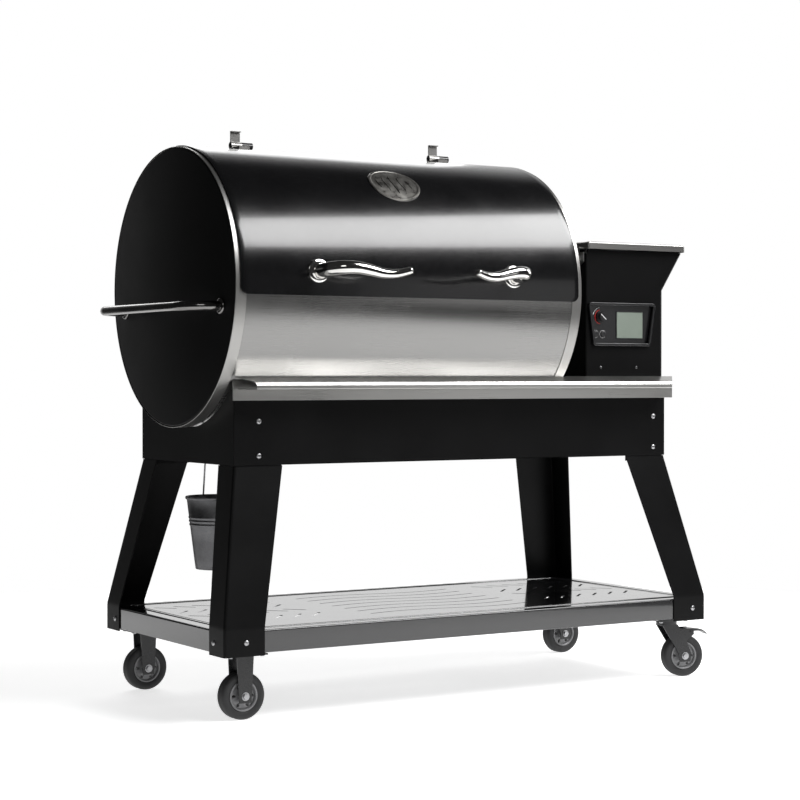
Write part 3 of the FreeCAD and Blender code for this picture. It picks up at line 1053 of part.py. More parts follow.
def make_swivel(side, y, yaw, plates):
    plate = box("swivel_plate_" + side, ("caster_right - plate_length / 2", "%s - plate_width / 2" % y,
                                         "plate_z"), ("plate_length", "plate_width", "plate_thick"))
    post = cylinder("swivel_post_" + side, ("caster_right", y, "plate_z - race_height - 8"), "z",
                    "kingpin_radius", "race_height + 8")
    plates.append(fuse("swivel_top_" + side, plate, post))

    spin = Rotation(Vector(0, 0, 1), yaw)
    ahead = spin.multVec(Vector(1, 0, 0))
    x = "caster_right + caster_trail * %f" % ahead.x
    wheel_y = "%s + caster_trail * %f" % (y, ahead.y)
    race_low = "plate_z - race_gap - race_height"
    race = cylinder("swivel_race_" + side, ("caster_right", y, race_low), "z", "race_radius",
                    "race_height")
    high = "%s - wheel_radius" % race_low
    lug = [("4", "36"), ("brake_pin_back + 7", "brake_pin_rise - 7"),
           ("brake_pin_back + 7", "brake_pin_rise + 7"), ("-12", "brake_pin_rise + 7")]
    parts = cheeks("swivel_" + side, x, wheel_y, "-caster_trail", high, yaw, lug)
    roof = box("swivel_roof_" + side, ("0", "0", "0"), ("fork_width", "2 * fork_half", "fork_skin"))
    start = spin.multVec(Vector(-0.5, 0, 0))
    aside = spin.multVec(Vector(0, -0.5, 0))
    place(roof, ("caster_right + fork_width * %f + 2 * fork_half * %f" % (start.x, aside.x),
                 "%s + fork_width * %f + 2 * fork_half * %f" % (y, start.y, aside.y),
                 "%s - fork_skin" % race_low), spin)
    hole = cylinder("swivel_hole_" + side, ("caster_right", y, "%s - 10" % race_low), "z",
                    "kingpin_radius + running_gap", "race_height + 20")
    pin_at = ("%s + brake_pin_back * %f" % (x, ahead.x), "%s + brake_pin_back * %f" % (wheel_y, ahead.y))
    span = "2 * (fork_half + fork_skin + 2)"
    pin = cylinder("brake_pin_" + side, ("%s + %s * %f" % (pin_at[0], span, aside.x),
                                         "%s + %s * %f" % (pin_at[1], span, aside.y),
                                         "wheel_radius + brake_pin_rise"), "y",
                   "brake_pin_radius", span, spin.multiply(AXES["y"]))
    whole = fuse("swivel_whole_" + side, race, roof, pin, *parts)
    node("caster_fork_%s_right" % side, cut("swivel_fork_" + side, whole, hole))
    make_wheel(side + "_right", x, wheel_y, yaw)
    make_brake(side, pin_at, spin)


def make_brake(side, pin_at, spin):
    """A pedal above the back of the wheel, on the cross pin between the fork's lugs."""
    z = "wheel_radius + brake_pin_rise"
    wide = "brake_width"
    pedal = padded("pedal_" + side, ("0", "0", "0"), "XZ_Plane",
                   [("-6", "-6"), ("6", "-6"), ("8", "0"), ("brake_reach - brake_pin_back - 12", "0"),
                    ("brake_reach - brake_pin_back", "-9"),
                    ("brake_reach - brake_pin_back", "-9 + brake_thick"),
                    ("brake_reach - brake_pin_back - 12", "brake_thick"), ("6", "6"),
                    ("-6", "6")], wide)
    half = spin.multVec(Vector(0, 0.5, 0))
    place(pedal, ("%s + %s * %f" % (pin_at[0], wide, half.x), "%s + %s * %f" % (pin_at[1], wide, half.y), z),
          spin)
    bore = cylinder("pedal_bore_" + side, ("%s - %s * %f" % (pin_at[0], wide, 2 * half.x),
                                           "%s - %s * %f" % (pin_at[1], wide, 2 * half.y), z), "y",
                    "brake_pin_radius + running_gap", "2 * brake_width", spin.multiply(AXES["y"]))
    node("brake_pedal_%s_right" % side, cut("brake_pedal_" + side, pedal, bore))


make_barrel()
make_lid()
make_side_handle()
make_vent()
make_insides()
make_feed()
make_drip()
make_hopper()
make_controller()
make_apron()
make_legs()
make_shelf()
make_ledge()
make_screws()
make_casters()
doc.recompute()

faults = [o.Name for o in doc.Objects if "Invalid" in o.State or "Error" in o.State]
faults += [n.Label for n in nodes if n.Shape.isNull() or not n.Shape.isValid()]
if faults:
    raise RuntimeError("these objects failed: " + ", ".join(faults))
os.makedirs("parts", exist_ok=True)
for piece in nodes:
    piece.Shape.exportStep("parts/%s.step" % piece.Label)
print("%d sub-parts written" % len(nodes))
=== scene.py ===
"""Looks for the pellet smoker grill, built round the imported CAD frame. Metres, +X right, +Y back, +Z up."""
import json
import math

import bmesh
import bpy
from mathutils import Matrix, Vector


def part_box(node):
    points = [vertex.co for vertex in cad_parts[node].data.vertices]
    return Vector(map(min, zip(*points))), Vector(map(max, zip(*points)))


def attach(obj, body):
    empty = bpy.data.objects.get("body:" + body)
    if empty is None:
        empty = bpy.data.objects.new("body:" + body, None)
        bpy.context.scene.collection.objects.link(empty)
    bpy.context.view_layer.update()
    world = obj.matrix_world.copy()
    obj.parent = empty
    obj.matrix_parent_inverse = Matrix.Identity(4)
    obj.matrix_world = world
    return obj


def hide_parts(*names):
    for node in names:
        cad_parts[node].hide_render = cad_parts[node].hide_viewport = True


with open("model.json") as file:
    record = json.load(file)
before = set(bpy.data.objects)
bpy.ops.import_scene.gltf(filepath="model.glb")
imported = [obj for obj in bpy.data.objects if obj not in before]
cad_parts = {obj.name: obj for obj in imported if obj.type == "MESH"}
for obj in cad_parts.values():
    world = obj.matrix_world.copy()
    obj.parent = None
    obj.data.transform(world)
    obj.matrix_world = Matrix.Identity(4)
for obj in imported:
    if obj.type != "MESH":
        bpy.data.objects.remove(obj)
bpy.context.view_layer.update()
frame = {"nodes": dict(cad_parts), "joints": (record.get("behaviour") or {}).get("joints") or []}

NODES = frame["nodes"]
START_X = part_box("end_cap_left")[0].x        # the barrel's left end
START_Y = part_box("apron_front")[0].y         # the cart's front face
MIDDLE_Y = 231.75                            # the barrel's axis, in mm from the cart's front face
AXIS_Z = 925.0
LID_RADIUS = 313.0
HARD_ANGLE = math.radians(38)
CAMERA_TURN = math.radians(31.87)            # how far the camera looks to the right of straight back


def mm(x, y, z):
    """A point given in mm from the barrel's left end, the cart's front face and the floor."""
    return Vector((START_X + x / 1000, START_Y + y / 1000, z / 1000))


def corners(node):
    """A CAD node's lowest and highest corners, in mm as for mm()."""
    low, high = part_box(node)
    start = Vector((START_X, START_Y, 0))
    return (low - start) * 1000, (high - start) * 1000


def islands(node):
    """The (lowest, highest) corners in metres of each separate solid in a CAD node."""
    mesh = NODES[node].data
    keys, parent = {}, list(range(len(mesh.vertices)))

    def root(i):
        while parent[i] != i:
            parent[i] = parent[parent[i]]
            i = parent[i]
        return i
    for v in mesh.vertices:
        key = tuple(round(c, 5) for c in v.co)
        if key in keys:
            parent[root(v.index)] = root(keys[key])
        else:
            keys[key] = v.index
    for e in mesh.edges:
        parent[root(e.vertices[0])] = root(e.vertices[1])
    groups = {}
    for v in mesh.vertices:
        groups.setdefault(root(v.index), []).append(v.co)
    boxes = [(Vector(map(min, *g)), Vector(map(max, *g))) for g in groups.values()]
    return sorted(boxes, key=lambda b: tuple(b[0]))


# ---------------------------------------------------------------- materials
def material(name, colour, rough, metallic=0.0, shade=0.1, blotch=5.0, grain=(300, 300, 300),
             bump=0.1, depth=0.0002, spread=0.08, coat=0.0, gleam=0.5, fleck=0.0):
    """A finish with cloudy colour and roughness, and a fine grain in bump and roughness."""
    made = bpy.data.materials.new(name)
    made.use_nodes = True
    tree = made.node_tree
    link = tree.links.new
    shader = tree.nodes["Principled BSDF"]
    shader.inputs["Metallic"].default_value = metallic
    shader.inputs["Coat Weight"].default_value = coat
    shader.inputs["Coat Roughness"].default_value = 0.04
    shader.inputs["Specular IOR Level"].default_value = gleam
    place = tree.nodes.new("ShaderNodeTexCoord")

    cloud = tree.nodes.new("ShaderNodeTexNoise")
    cloud.inputs["Scale"].default_value = blotch
    cloud.inputs["Detail"].default_value = 6
    link(place.outputs["Object"], cloud.inputs["Vector"])
    stretch = tree.nodes.new("ShaderNodeMapping")
    stretch.inputs["Scale"].default_value = grain
    link(place.outputs["Object"], stretch.inputs["Vector"])
    fine = tree.nodes.new("ShaderNodeTexNoise")
    fine.inputs["Scale"].default_value = 1.0
    fine.inputs["Detail"].default_value = 4
    link(stretch.outputs["Vector"], fine.inputs["Vector"])

    ramp = tree.nodes.new("ShaderNodeValToRGB")
    dark = [c * (1 - shade) for c in colour[:3]]
    light = [min(1.0, c * (1 + shade) + fleck) for c in colour[:3]]
    ramp.color_ramp.elements[0].position = 0.3
    ramp.color_ramp.elements[1].position = 0.7
    ramp.color_ramp.elements[0].color = (*dark, 1)
    ramp.color_ramp.elements[1].color = (*light, 1)
    blend = tree.nodes.new("ShaderNodeMix")
    blend.inputs["Factor"].default_value = 0.4
    link(cloud.outputs["Fac"], blend.inputs["A"])
    link(fine.outputs["Fac"], blend.inputs["B"])
    link(blend.outputs["Result"], ramp.inputs["Fac"])
    link(ramp.outputs["Color"], shader.inputs["Base Color"])

    span = tree.nodes.new("ShaderNodeMapRange")
    span.inputs["From Min"].default_value = 0.3
    span.inputs["From Max"].default_value = 0.7
    span.inputs["To Min"].default_value = max(0.02, rough - spread)
    span.inputs["To Max"].default_value = min(1.0, rough + spread)
    link(blend.outputs["Result"], span.inputs["Value"])
    link(span.outputs["Result"], shader.inputs["Roughness"])

    raised = tree.nodes.new("ShaderNodeBump")
    raised.inputs["Strength"].default_value = bump
    raised.inputs["Distance"].default_value = depth
    link(fine.outputs["Fac"], raised.inputs["Height"])
    link(raised.outputs["Normal"], shader.inputs["Normal"])
    return made


STEEL = (0.56, 0.555, 0.54)
brushed_x = material("brushed_along_x", STEEL, 0.3, 1.0, 0.08, 3, (4, 1500, 1500), 0.25, 0.0001, 0.07)
brushed_z = material("brushed_along_z", STEEL, 0.3, 1.0, 0.08, 3, (1500, 1500, 4), 0.25, 0.0001, 0.07)
# The barrel's brushed stainless is given a darker colour than STEEL. This is painted shade: the dim
# reflections on the barrel's front are put into its colour.
barrel_steel_painted_dark = material("brushed_barrel_painted_dark", (0.25, 0.248, 0.243), 0.26, 1.0, 0.08, 3, (4, 1500, 1500), 0.25,
                        0.0001, 0.07)
# The side bar's chrome is painted dark. This is painted shade: the dark reflections of the real chrome are
# put into its colour.
chrome_painted_dark = material("chrome_painted_dark", (0.22, 0.215, 0.21), 0.16, 1.0, 0.08, 12, (200, 200, 200), 0.04,
                       0.0001, 0.05)
# Brushed stainless painted darker than STEEL, used for the hopper lid, the barrel's end bands and the lid's
# hinge leaves. This is painted shade: their darker reflections are put into the colour.
brushed_steel_painted_dark = material("brushed_steel_painted_dark", (0.36, 0.355, 0.345), 0.34, 1.0, 0.08, 3, (1500, 4, 1500), 0.25,
                        0.0001, 0.07)
enamel = material("gloss_black_enamel", (0.004, 0.004, 0.0045), 0.2, 0.0, 0.2, 9, (90, 90, 90), 0.05,
                  0.0002, 0.03, coat=0.15)
powder = material("satin_black_powder_coat", (0.004, 0.004, 0.0042), 0.42, 0.0, 0.25, 7,
                  (900, 900, 900), 0.25, 0.0001, 0.06, gleam=0.12)
gloss = material("gloss_black_coat", (0.010, 0.010, 0.011), 0.15, 0.0, 0.2, 7, (500, 500, 500), 0.12,
                 0.0001, 0.04, coat=1.0, gleam=0.5)
polished = material("polished_steel", (0.72, 0.71, 0.69), 0.12, 1.0, 0.05, 12, (200, 200, 200), 0.04,
                    0.0001, 0.05)
pewter = material("pewter", (0.36, 0.35, 0.33), 0.32, 1.0, 0.25, 60, (700, 700, 700), 0.3, 0.0001, 0.1)
hinge_black = material("semi_gloss_black", (0.014, 0.014, 0.015), 0.28, 0.0, 0.25, 12,
                       (600, 600, 600), 0.2, 0.0001, 0.06)
zinc = material("zinc_plate", (0.42, 0.42, 0.43), 0.33, 1.0, 0.18, 35, (500, 500, 500), 0.15, 0.0001,
                0.12)
dark_zinc = material("darkened_zinc", (0.16, 0.16, 0.165), 0.36, 1.0, 0.25, 30, (500, 500, 500), 0.2,
                     0.0001, 0.12)
cooking = material("cooking_steel", (0.30, 0.29, 0.275), 0.35, 1.0, 0.25, 14, (400, 400, 400), 0.2,
                   0.0001, 0.1)
sheet = material("mill_sheet_steel", (0.42, 0.42, 0.42), 0.38, 1.0, 0.15, 10, (60, 700, 700), 0.2,
                 0.0001, 0.1)
galvanised = material("dull_galvanised", (0.15, 0.15, 0.155), 0.42, 1.0, 0.3, 45, (260, 260, 260), 0.2,
                      0.0002, 0.12)
plastic = material("black_plastic", (0.014, 0.014, 0.015), 0.42, 0.0, 0.2, 12, (1500, 1500, 1500), 0.35,
                   0.00008, 0.06)
shiny_plastic = material("glossy_black_plastic", (0.010, 0.010, 0.011), 0.16, 0.0, 0.2, 12,
                         (700, 700, 700), 0.06, 0.00008, 0.04)
tyre = material("tyre_rubber", (0.017, 0.017, 0.018), 0.62, 0.0, 0.25, 18, (900, 900, 900), 0.4, 0.0001,
                0.08, fleck=0.004)
hub_grey = material("grey_hub", (0.20, 0.20, 0.205), 0.36, 0.3, 0.15, 20, (800, 800, 800), 0.15,
                    0.0001, 0.08)
liquid_crystal = material("screen_glass", (0.20, 0.24, 0.20), 0.22, 0.0, 0.06, 20, (60, 60, 60), 0.02,
                          0.0001, 0.03, coat=1.0)
white_mark = material("white_mark", (0.72, 0.72, 0.72), 0.4, 0.0, 0.05, 60, (900, 900, 900), 0.1,
                      0.00005, 0.05)
red_mark = material("red_mark", (0.42, 0.02, 0.015), 0.35, 0.0, 0.1, 60, (900, 900, 900), 0.1,
                    0.00005, 0.05)
ceramic = material("igniter_ceramic", (0.55, 0.50, 0.42), 0.6, 0.0, 0.15, 40, (600, 600, 600), 0.3,
                   0.0001, 0.08)


# ---------------------------------------------------------------- mesh helpers
def finished(bm, name):
    """The mesh of a bmesh, with outward normals and its hard edges marked."""
    bmesh.ops.recalc_face_normals(bm, faces=bm.faces)
    if bm.calc_volume(signed=True) < 0:
        bmesh.ops.reverse_faces(bm, faces=bm.faces)
    for f in bm.faces:
        f.smooth = True
    for e in bm.edges:
        e.smooth = len(e.link_faces) == 2 and e.calc_face_angle(0.0) < HARD_ANGLE
    mesh = bpy.data.meshes.new(name)
    bm.to_mesh(mesh)
    bm.free()
    return mesh


def hard_edges(bm, angle=0.9):
    return [e for e in bm.edges if len(e.link_faces) == 2 and e.calc_face_angle(0.0) > angle]


def rounded_edges(bm, radius, steps=2, angle=0.9):
    bmesh.ops.recalc_face_normals(bm, faces=bm.faces)
    bmesh.ops.bevel(bm, geom=hard_edges(bm, angle), offset=radius / 1000, segments=steps, profile=0.5,
                    affect="EDGES", clamp_overlap=True)


def show(name, mesh, body, slot, finish, *replaced):
    """Puts a mesh in the scene as a piece of the object, with its body and finish. The slot is not used."""
    obj = bpy.data.objects.new(name, mesh)
    bpy.context.scene.collection.objects.link(obj)
    mesh.materials.clear()
    mesh.materials.append(finish)
    if "flat" in mesh:
        weighted = obj.modifiers.new("even_normals", "WEIGHTED_NORMAL")
        weighted.keep_sharp = True
    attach(obj, body)
    if replaced:
        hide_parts(*replaced)
    return obj


def flat(mesh):
    """Marks a mesh made of flat sheets, so that its shading follows its large faces."""
    mesh["flat"] = True
    return mesh


def joined(name, *meshes):
    """One mesh out of several."""
    bm = bmesh.new()
    for m in meshes:
        bm.from_mesh(m)
    mesh = bpy.data.meshes.new(name)
    bm.to_mesh(mesh)
    bm.free()
    if any("flat" in m for m in meshes):
        mesh["flat"] = True
    return mesh


def facing(origin, direction, up=Vector((0, 0, 1))):
    """A matrix that puts local +Z along the direction, at the origin."""
    z = Vector(direction).normalized()
    x = up.cross(z)
    if x.length < 1e-6:
        x = Vector((1, 0, 0))
    x.normalize()
    y = z.cross(x)
    return Matrix.Translation(origin) @ Matrix((x, y, z)).transposed().to_4x4()


def lathe(name, profile, where, steps=72):
    """A round piece from (radius, height) pairs in mm about local Z. Radius 0 closes an end."""
    bm = bmesh.new()
    rings = []
    for radius, height in profile:
        if radius < 1e-6:
            rings.append([bm.verts.new((0, 0, height / 1000))])
        else:
            rings.append([bm.verts.new((radius / 1000 * math.cos(2 * math.pi * i / steps),
                                        radius / 1000 * math.sin(2 * math.pi * i / steps),
                                        height / 1000)) for i in range(steps)])
    closed = profile[0][0] > 1e-6 and profile[-1][0] > 1e-6
    pairs = list(zip(rings, rings[1:])) + ([(rings[-1], rings[0])] if closed else [])
    for a, b in pairs:
        for i in range(steps):
            k = (i + 1) % steps
            quad = [a[i % len(a)], a[k % len(a)], b[k % len(b)], b[i % len(b)]]
            bm.faces.new(list(dict.fromkeys(quad)))
    bm.transform(where)
    return finished(bm, name)


def smooth_line(points, radii, count):
    """A Catmull-Rom line through the points, with the radii carried along."""
    line, sizes = [], []
    last = len(points) - 1
    for n in range(count + 1):
        t = n / count * last
        i = min(int(t), last - 1)
        f = t - i
        p = [points[max(0, min(last, k))] for k in (i - 1, i, i + 1, i + 2)]
        line.append(0.5 * ((2 * p[1]) + (p[2] - p[0]) * f + (2 * p[0] - 5 * p[1] + 4 * p[2] - p[3]) * f * f
                           + (3 * p[1] - p[0] - 3 * p[2] + p[3]) * f ** 3))
        sizes.append(radii[i] + (radii[i + 1] - radii[i]) * f)
    return line, sizes


def bent_line(points, bend, steps=12):
    """Straight runs through the points in metres, each inner corner turned to the bend radius."""
    line = [points[0]]
    for before, corner, after in zip(points, points[1:], points[2:]):
        back, ahead = (before - corner).normalized(), (after - corner).normalized()
        half = back.angle(ahead) / 2
        reach = bend / math.tan(half)
        centre = corner + (back + ahead).normalized() * bend / math.sin(half)
        first, second = corner + back * reach - centre, corner + ahead * reach - centre
        turn, spin = first.angle(second), first.cross(second)
        for n in range(steps + 1):
            line.append(centre + Matrix.Rotation(turn * n / steps, 3, spin) @ first)
    line.append(points[-1])
    return line


def tube(name, line, radii, sides=28, dome=0.0):
    """A round rod along a line in metres, its radii in mm. A dome rounds off the far end."""
    if not hasattr(radii, "__len__"):
        radii = [radii] * len(line)
    bm = bmesh.new()
    rings = []
    ahead = (line[1] - line[0]).normalized()
    side = ahead.orthogonal().normalized()
    stops = [(p, r) for p, r in zip(line, radii)]
    if dome:
        out = (line[-1] - line[-2]).normalized()
        stops = stops[:-1] + [(line[-1] + out * dome * radii[-1] / 1000 * math.sin(a),
                               radii[-1] * math.cos(a)) for a in (0, 0.4, 0.8, 1.15, 1.4)]
    for i, (point, radius) in enumerate(stops):
        a = stops[max(i - 1, 0)][0]
        b = stops[min(i + 1, len(stops) - 1)][0]
        way = (b - a).normalized() if (b - a).length > 1e-9 else ahead
        side = (side - way * side.dot(way)).normalized()
        up = way.cross(side)
        rings.append([bm.verts.new(point + (side * math.cos(2 * math.pi * k / sides)
                                            + up * math.sin(2 * math.pi * k / sides)) * radius / 1000)
                      for k in range(sides)])
    for a, b in zip(rings, rings[1:]):
        for k in range(sides):
            bm.faces.new((a[k], a[(k + 1) % sides], b[(k + 1) % sides], b[k]))
    bm.faces.new(rings[0])
    bm.faces.new(rings[-1])
    return finished(bm, name)


def rounded(points, radius, steps=5):
    """A closed 2D outline in mm with each corner turned to the radius."""
    out = []
    count = len(points)
    for i, corner in enumerate(points):
        r = radius[i] if hasattr(radius, "__len__") else radius
        before, after = Vector(points[i - 1]), Vector(points[(i + 1) % count])
        corner = Vector(corner)
        back, ahead = (before - corner), (after - corner)
        r_max = min(back.length, ahead.length) * 0.49
        back.normalize()
        ahead.normalize()
        half = back.angle(ahead) / 2
        if r <= 0 or half > 1.5:
            out.append(tuple(corner))
            continue
        reach = min(r / math.tan(half), r_max)
        r = reach * math.tan(half)
        centre = corner + (back + ahead).normalized() * r / math.sin(half)
        first, second = corner + back * reach - centre, corner + ahead * reach - centre
        turn = first.angle_signed(second)
        for n in range(steps + 1):
            spun = Matrix.Rotation(-turn * n / steps, 2) @ first
            out.append(tuple(centre + spun))
    return out


def box_loop(x0, y0, x1, y1):
    return [(x0, y0), (x1, y0), (x1, y1), (x0, y1)]


def plate(name, outline, thick, where, holes=(), edge=0.5, steps=2):
    """A flat sheet in mm, its outline and holes in local XY and its thickness along local Z."""
    bm = bmesh.new()
    for loop in (outline, *holes):
        verts = [bm.verts.new((x / 1000, y / 1000, 0)) for x, y in loop]
        for i in range(len(verts)):
            bm.edges.new((verts[i], verts[(i + 1) % len(verts)]))
    bmesh.ops.triangle_fill(bm, use_beauty=True, use_dissolve=False, edges=bm.edges[:])
    faces = bmesh.ops.extrude_face_region(bm, geom=bm.faces[:])
    moved = [v for v in faces["geom"] if isinstance(v, bmesh.types.BMVert)]
    bmesh.ops.translate(bm, verts=moved, vec=(0, 0, thick / 1000))
    if not holes:
        bmesh.ops.dissolve_limit(bm, angle_limit=0.01, verts=bm.verts[:], edges=bm.edges[:])
    if edge:
        rounded_edges(bm, edge, steps)
    bm.transform(where)
    return flat(finished(bm, name))


def block(name, low, high, edge=1.0, steps=2):
    """A solid block between two points in mm, with rounded edges."""
    bm = bmesh.new()
    bmesh.ops.create_cube(bm, size=1)
    a, b = mm(*low), mm(*high)
    bm.transform(Matrix.Translation((a + b) / 2) @ Matrix.Diagonal((*(b - a), 1)))
    if edge:
        rounded_edges(bm, edge, steps)
    return flat(finished(bm, name))


def swept(name, outline, start, end, where):
    """A closed outline carried from start(x, y) to end(x, y) along local Z, all in mm."""
    bm = bmesh.new()
    rings = [[bm.verts.new((x / 1000, y / 1000, at(x, y) / 1000)) for x, y in outline]
             for at in (start, end)]
    count = len(outline)
    for i in range(count):
        k = (i + 1) % count
        bm.faces.new((rings[0][i], rings[0][k], rings[1][k], rings[1][i]))
    bm.faces.new(rings[0])
    bm.faces.new(rings[1])
    bm.transform(where)
    return flat(finished(bm, name))


def carved(mesh, *cutters):
    """The mesh with the cutters' volume taken away."""
    base = bpy.data.objects.new("carve_base", mesh)
    tool = bpy.data.objects.new("carve_tool", joined("carve_tool", *cutters))
    for obj in (base, tool):
        bpy.context.scene.collection.objects.link(obj)
    cut = base.modifiers.new("cut", "BOOLEAN")
    cut.object = tool
    cut.operation = "DIFFERENCE"
    cut.solver = "EXACT"
    graph = bpy.context.evaluated_depsgraph_get()
    result = bpy.data.meshes.new_from_object(base.evaluated_get(graph))
    is_flat = "flat" in mesh
    for obj in (base, tool):
        bpy.data.objects.remove(obj)
    bm = bmesh.new()
    bm.from_mesh(result)
    made = finished(bm, mesh.name)
    return flat(made) if is_flat else made


def lofted(name, sections, ring=False):
    """A solid through closed loops of the same number of points in metres. A ring has no ends."""
    bm = bmesh.new()
    rings = [[bm.verts.new(p) for p in loop] for loop in sections]
    count = len(rings[0])
    for a, b in list(zip(rings, rings[1:])) + ([(rings[-1], rings[0])] if ring else []):
        for i in range(count):
            k = (i + 1) % count
            bm.faces.new((a[i], a[k], b[k], b[i]))
    if not ring:
        bm.faces.new(rings[0])
        bm.faces.new(rings[-1])
    return flat(finished(bm, name))


def curved_sheet(name, x0, x1, low, high, radius, thick, corner_low, corner_high, columns=60):
    """A sheet on the barrel's cylinder between two angles up from the front, with round corners."""
    def rows(corner):
        return [corner * (1 - math.cos(math.pi / 2 * n / 8)) for n in range(9)]
    tall = math.radians(high - low) * radius
    steps = rows(corner_low)
    while steps[-1] < tall - corner_high - 14:
        steps.append(steps[-1] + 12)
    steps += [tall - d for d in reversed(rows(corner_high))]

    def inset(d):
        for corner, gap in ((corner_low, d), (corner_high, tall - d)):
            if gap < corner:
                return corner - math.sqrt(max(0, corner ** 2 - (corner - gap) ** 2))
        return 0
    bm = bmesh.new()
    grid = []
    for d in steps:
        angle = math.radians(low) + d / radius
        grid.append([bm.verts.new(mm(x0 + inset(d) + (x1 - x0 - 2 * inset(d)) * k / columns,
                                     MIDDLE_Y - (radius - thick / 2) * math.cos(angle),
                                     AXIS_Z + (radius - thick / 2) * math.sin(angle)))
                     for k in range(columns + 1)])
    for a, b in zip(grid, grid[1:]):
        for k in range(columns):
            bm.faces.new((a[k], a[k + 1], b[k + 1], b[k]))
    bmesh.ops.recalc_face_normals(bm, faces=bm.faces)
    bm.faces.ensure_lookup_table()
    middle = mm(x0, MIDDLE_Y, AXIS_Z)
    first = bm.faces[0]
    offset = first.calc_center_median() - middle
    offset.x = 0
    if first.normal.dot(offset) < 0:
        bmesh.ops.reverse_faces(bm, faces=bm.faces)
    shifted = bmesh.ops.solidify(bm, geom=bm.faces[:], thickness=thick / 1000)
    for v in bm.verts:
        out = Vector((0, v.co.y - middle.y, v.co.z - middle.z))
        target = radius / 1000 if v in shifted["geom"] else (radius - thick) / 1000
        v.co.y = middle.y + out.y / out.length * target
        v.co.z = middle.z + out.z / out.length * target
    rounded_edges(bm, min(0.8, thick * 0.35), 2)
    return finished(bm, name)


# ---------------------------------------------------------------- lid
def make_lid():
    low, high = corners("lid_skin")
    show("lid_shell", curved_sheet("lid_shell", low.x, high.x, -4.5, 91, LID_RADIUS, 2, 15, 8),
         "lid", "black_enamel", enamel, "lid_skin")
    for side, way in (("left", 1), ("right", -1)):
        make_horn(side, way)
    make_badge()


def make_horn(side, way):
    """A tapered S-shaped handle on a round flange, pointing to the middle of the lid."""
    low, high = corners("lid_handle_" + side)
    flange = 25.5
    start_x = low.x + flange if way > 0 else high.x - flange
    start_z = high.z - flange
    start_y = MIDDLE_Y - math.sqrt(LID_RADIUS ** 2 - (start_z - AXIS_Z) ** 2)
    reach, stand_off, thick, thinner = 167, 107, 15.5, 8
    stations = [(0, 0, 0, 0), (0, .28, 0, 1), (.03, .52, .03, 3), (.13, .70, .10, 5), (.28, .78, .22, 5),
                (.46, .82, .40, 0), (.64, .86, .58, -6), (.82, .92, .78, -6), (1, 1, 1, 1)]
    points = [mm(start_x + way * reach * along, start_y - stand_off * out, start_z + rise)
              for along, out, _, rise in stations]
    line, sizes = smooth_line(points, [thick - thinner * taper for _, _, taper, _ in stations], 72)
    horn = tube("horn", line, sizes, 32, 0.5)
    foot = lathe("foot", [(0, 0), (25.0, 0), (25.5, 1), (25.5, 11), (24.6, 13.2), (22.5, 14.4), (18, 15),
                          (16.6, 16.5), (15.4, 19), (0, 19)],
                 facing(mm(start_x, start_y + 9, start_z), (0, -1, 0)))
    show("lid_horn_" + side, joined("lid_horn_" + side, horn, foot), "lid", "polished_steel", polished,
         "lid_handle_" + side)


def make_badge():
    """An oval plate with a raised rim and five plain drops, bent to the lid's curve."""
    low, high = corners("lid_badge")
    half_x, half_y = 64, 54
    angle = math.radians(48)
    out = Vector((0, -math.cos(angle), math.sin(angle)))
    centre = mm((low.x + high.x) / 2, MIDDLE_Y, AXIS_Z) + out * (LID_RADIUS - 0.5) / 1000
    where = facing(centre, out)
    scale = Matrix.Diagonal((half_x / 32, half_y / 32, 1, 1))
    profile = [(r, -0.6) for r in range(0, 32, 4)] + [(31.6, -0.5), (32, 0), (32, 2.4), (31.4, 3.2)]
    profile += [(29.4, 3.2), (28.7, 2.5), (27.5, 2.2), (22, 2.4), (16, 2.5), (10, 2.6), (5, 2.7), (0, 2.7)]
    disc = lathe("badge_disc", profile, Matrix.Identity(4), 96)
    disc.transform(scale)
    ridges = []
    for x, tall, wide in ((-40, 15, 8), (-20, 25, 10), (0, 33, 11), (20, 25, 10), (40, 15, 8)):
        drop = [(x + wide * math.sin(a) * (1 - math.cos(a)) * 0.5, -tall * math.cos(a))
                for a in [2 * math.pi * k / 24 for k in range(24)]]
        ridges.append(plate("ridge", drop, 1.6, Matrix.Translation((0, 0, 0.0022)), edge=0.6))
    emblem = joined("lid_emblem", disc, *ridges)
    for v in emblem.vertices:
        v.co.z -= v.co.y ** 2 / (2 * LID_RADIUS / 1000)
    emblem.transform(where)
    show("lid_emblem", emblem, "lid", "polished_steel", pewter, "lid_badge")


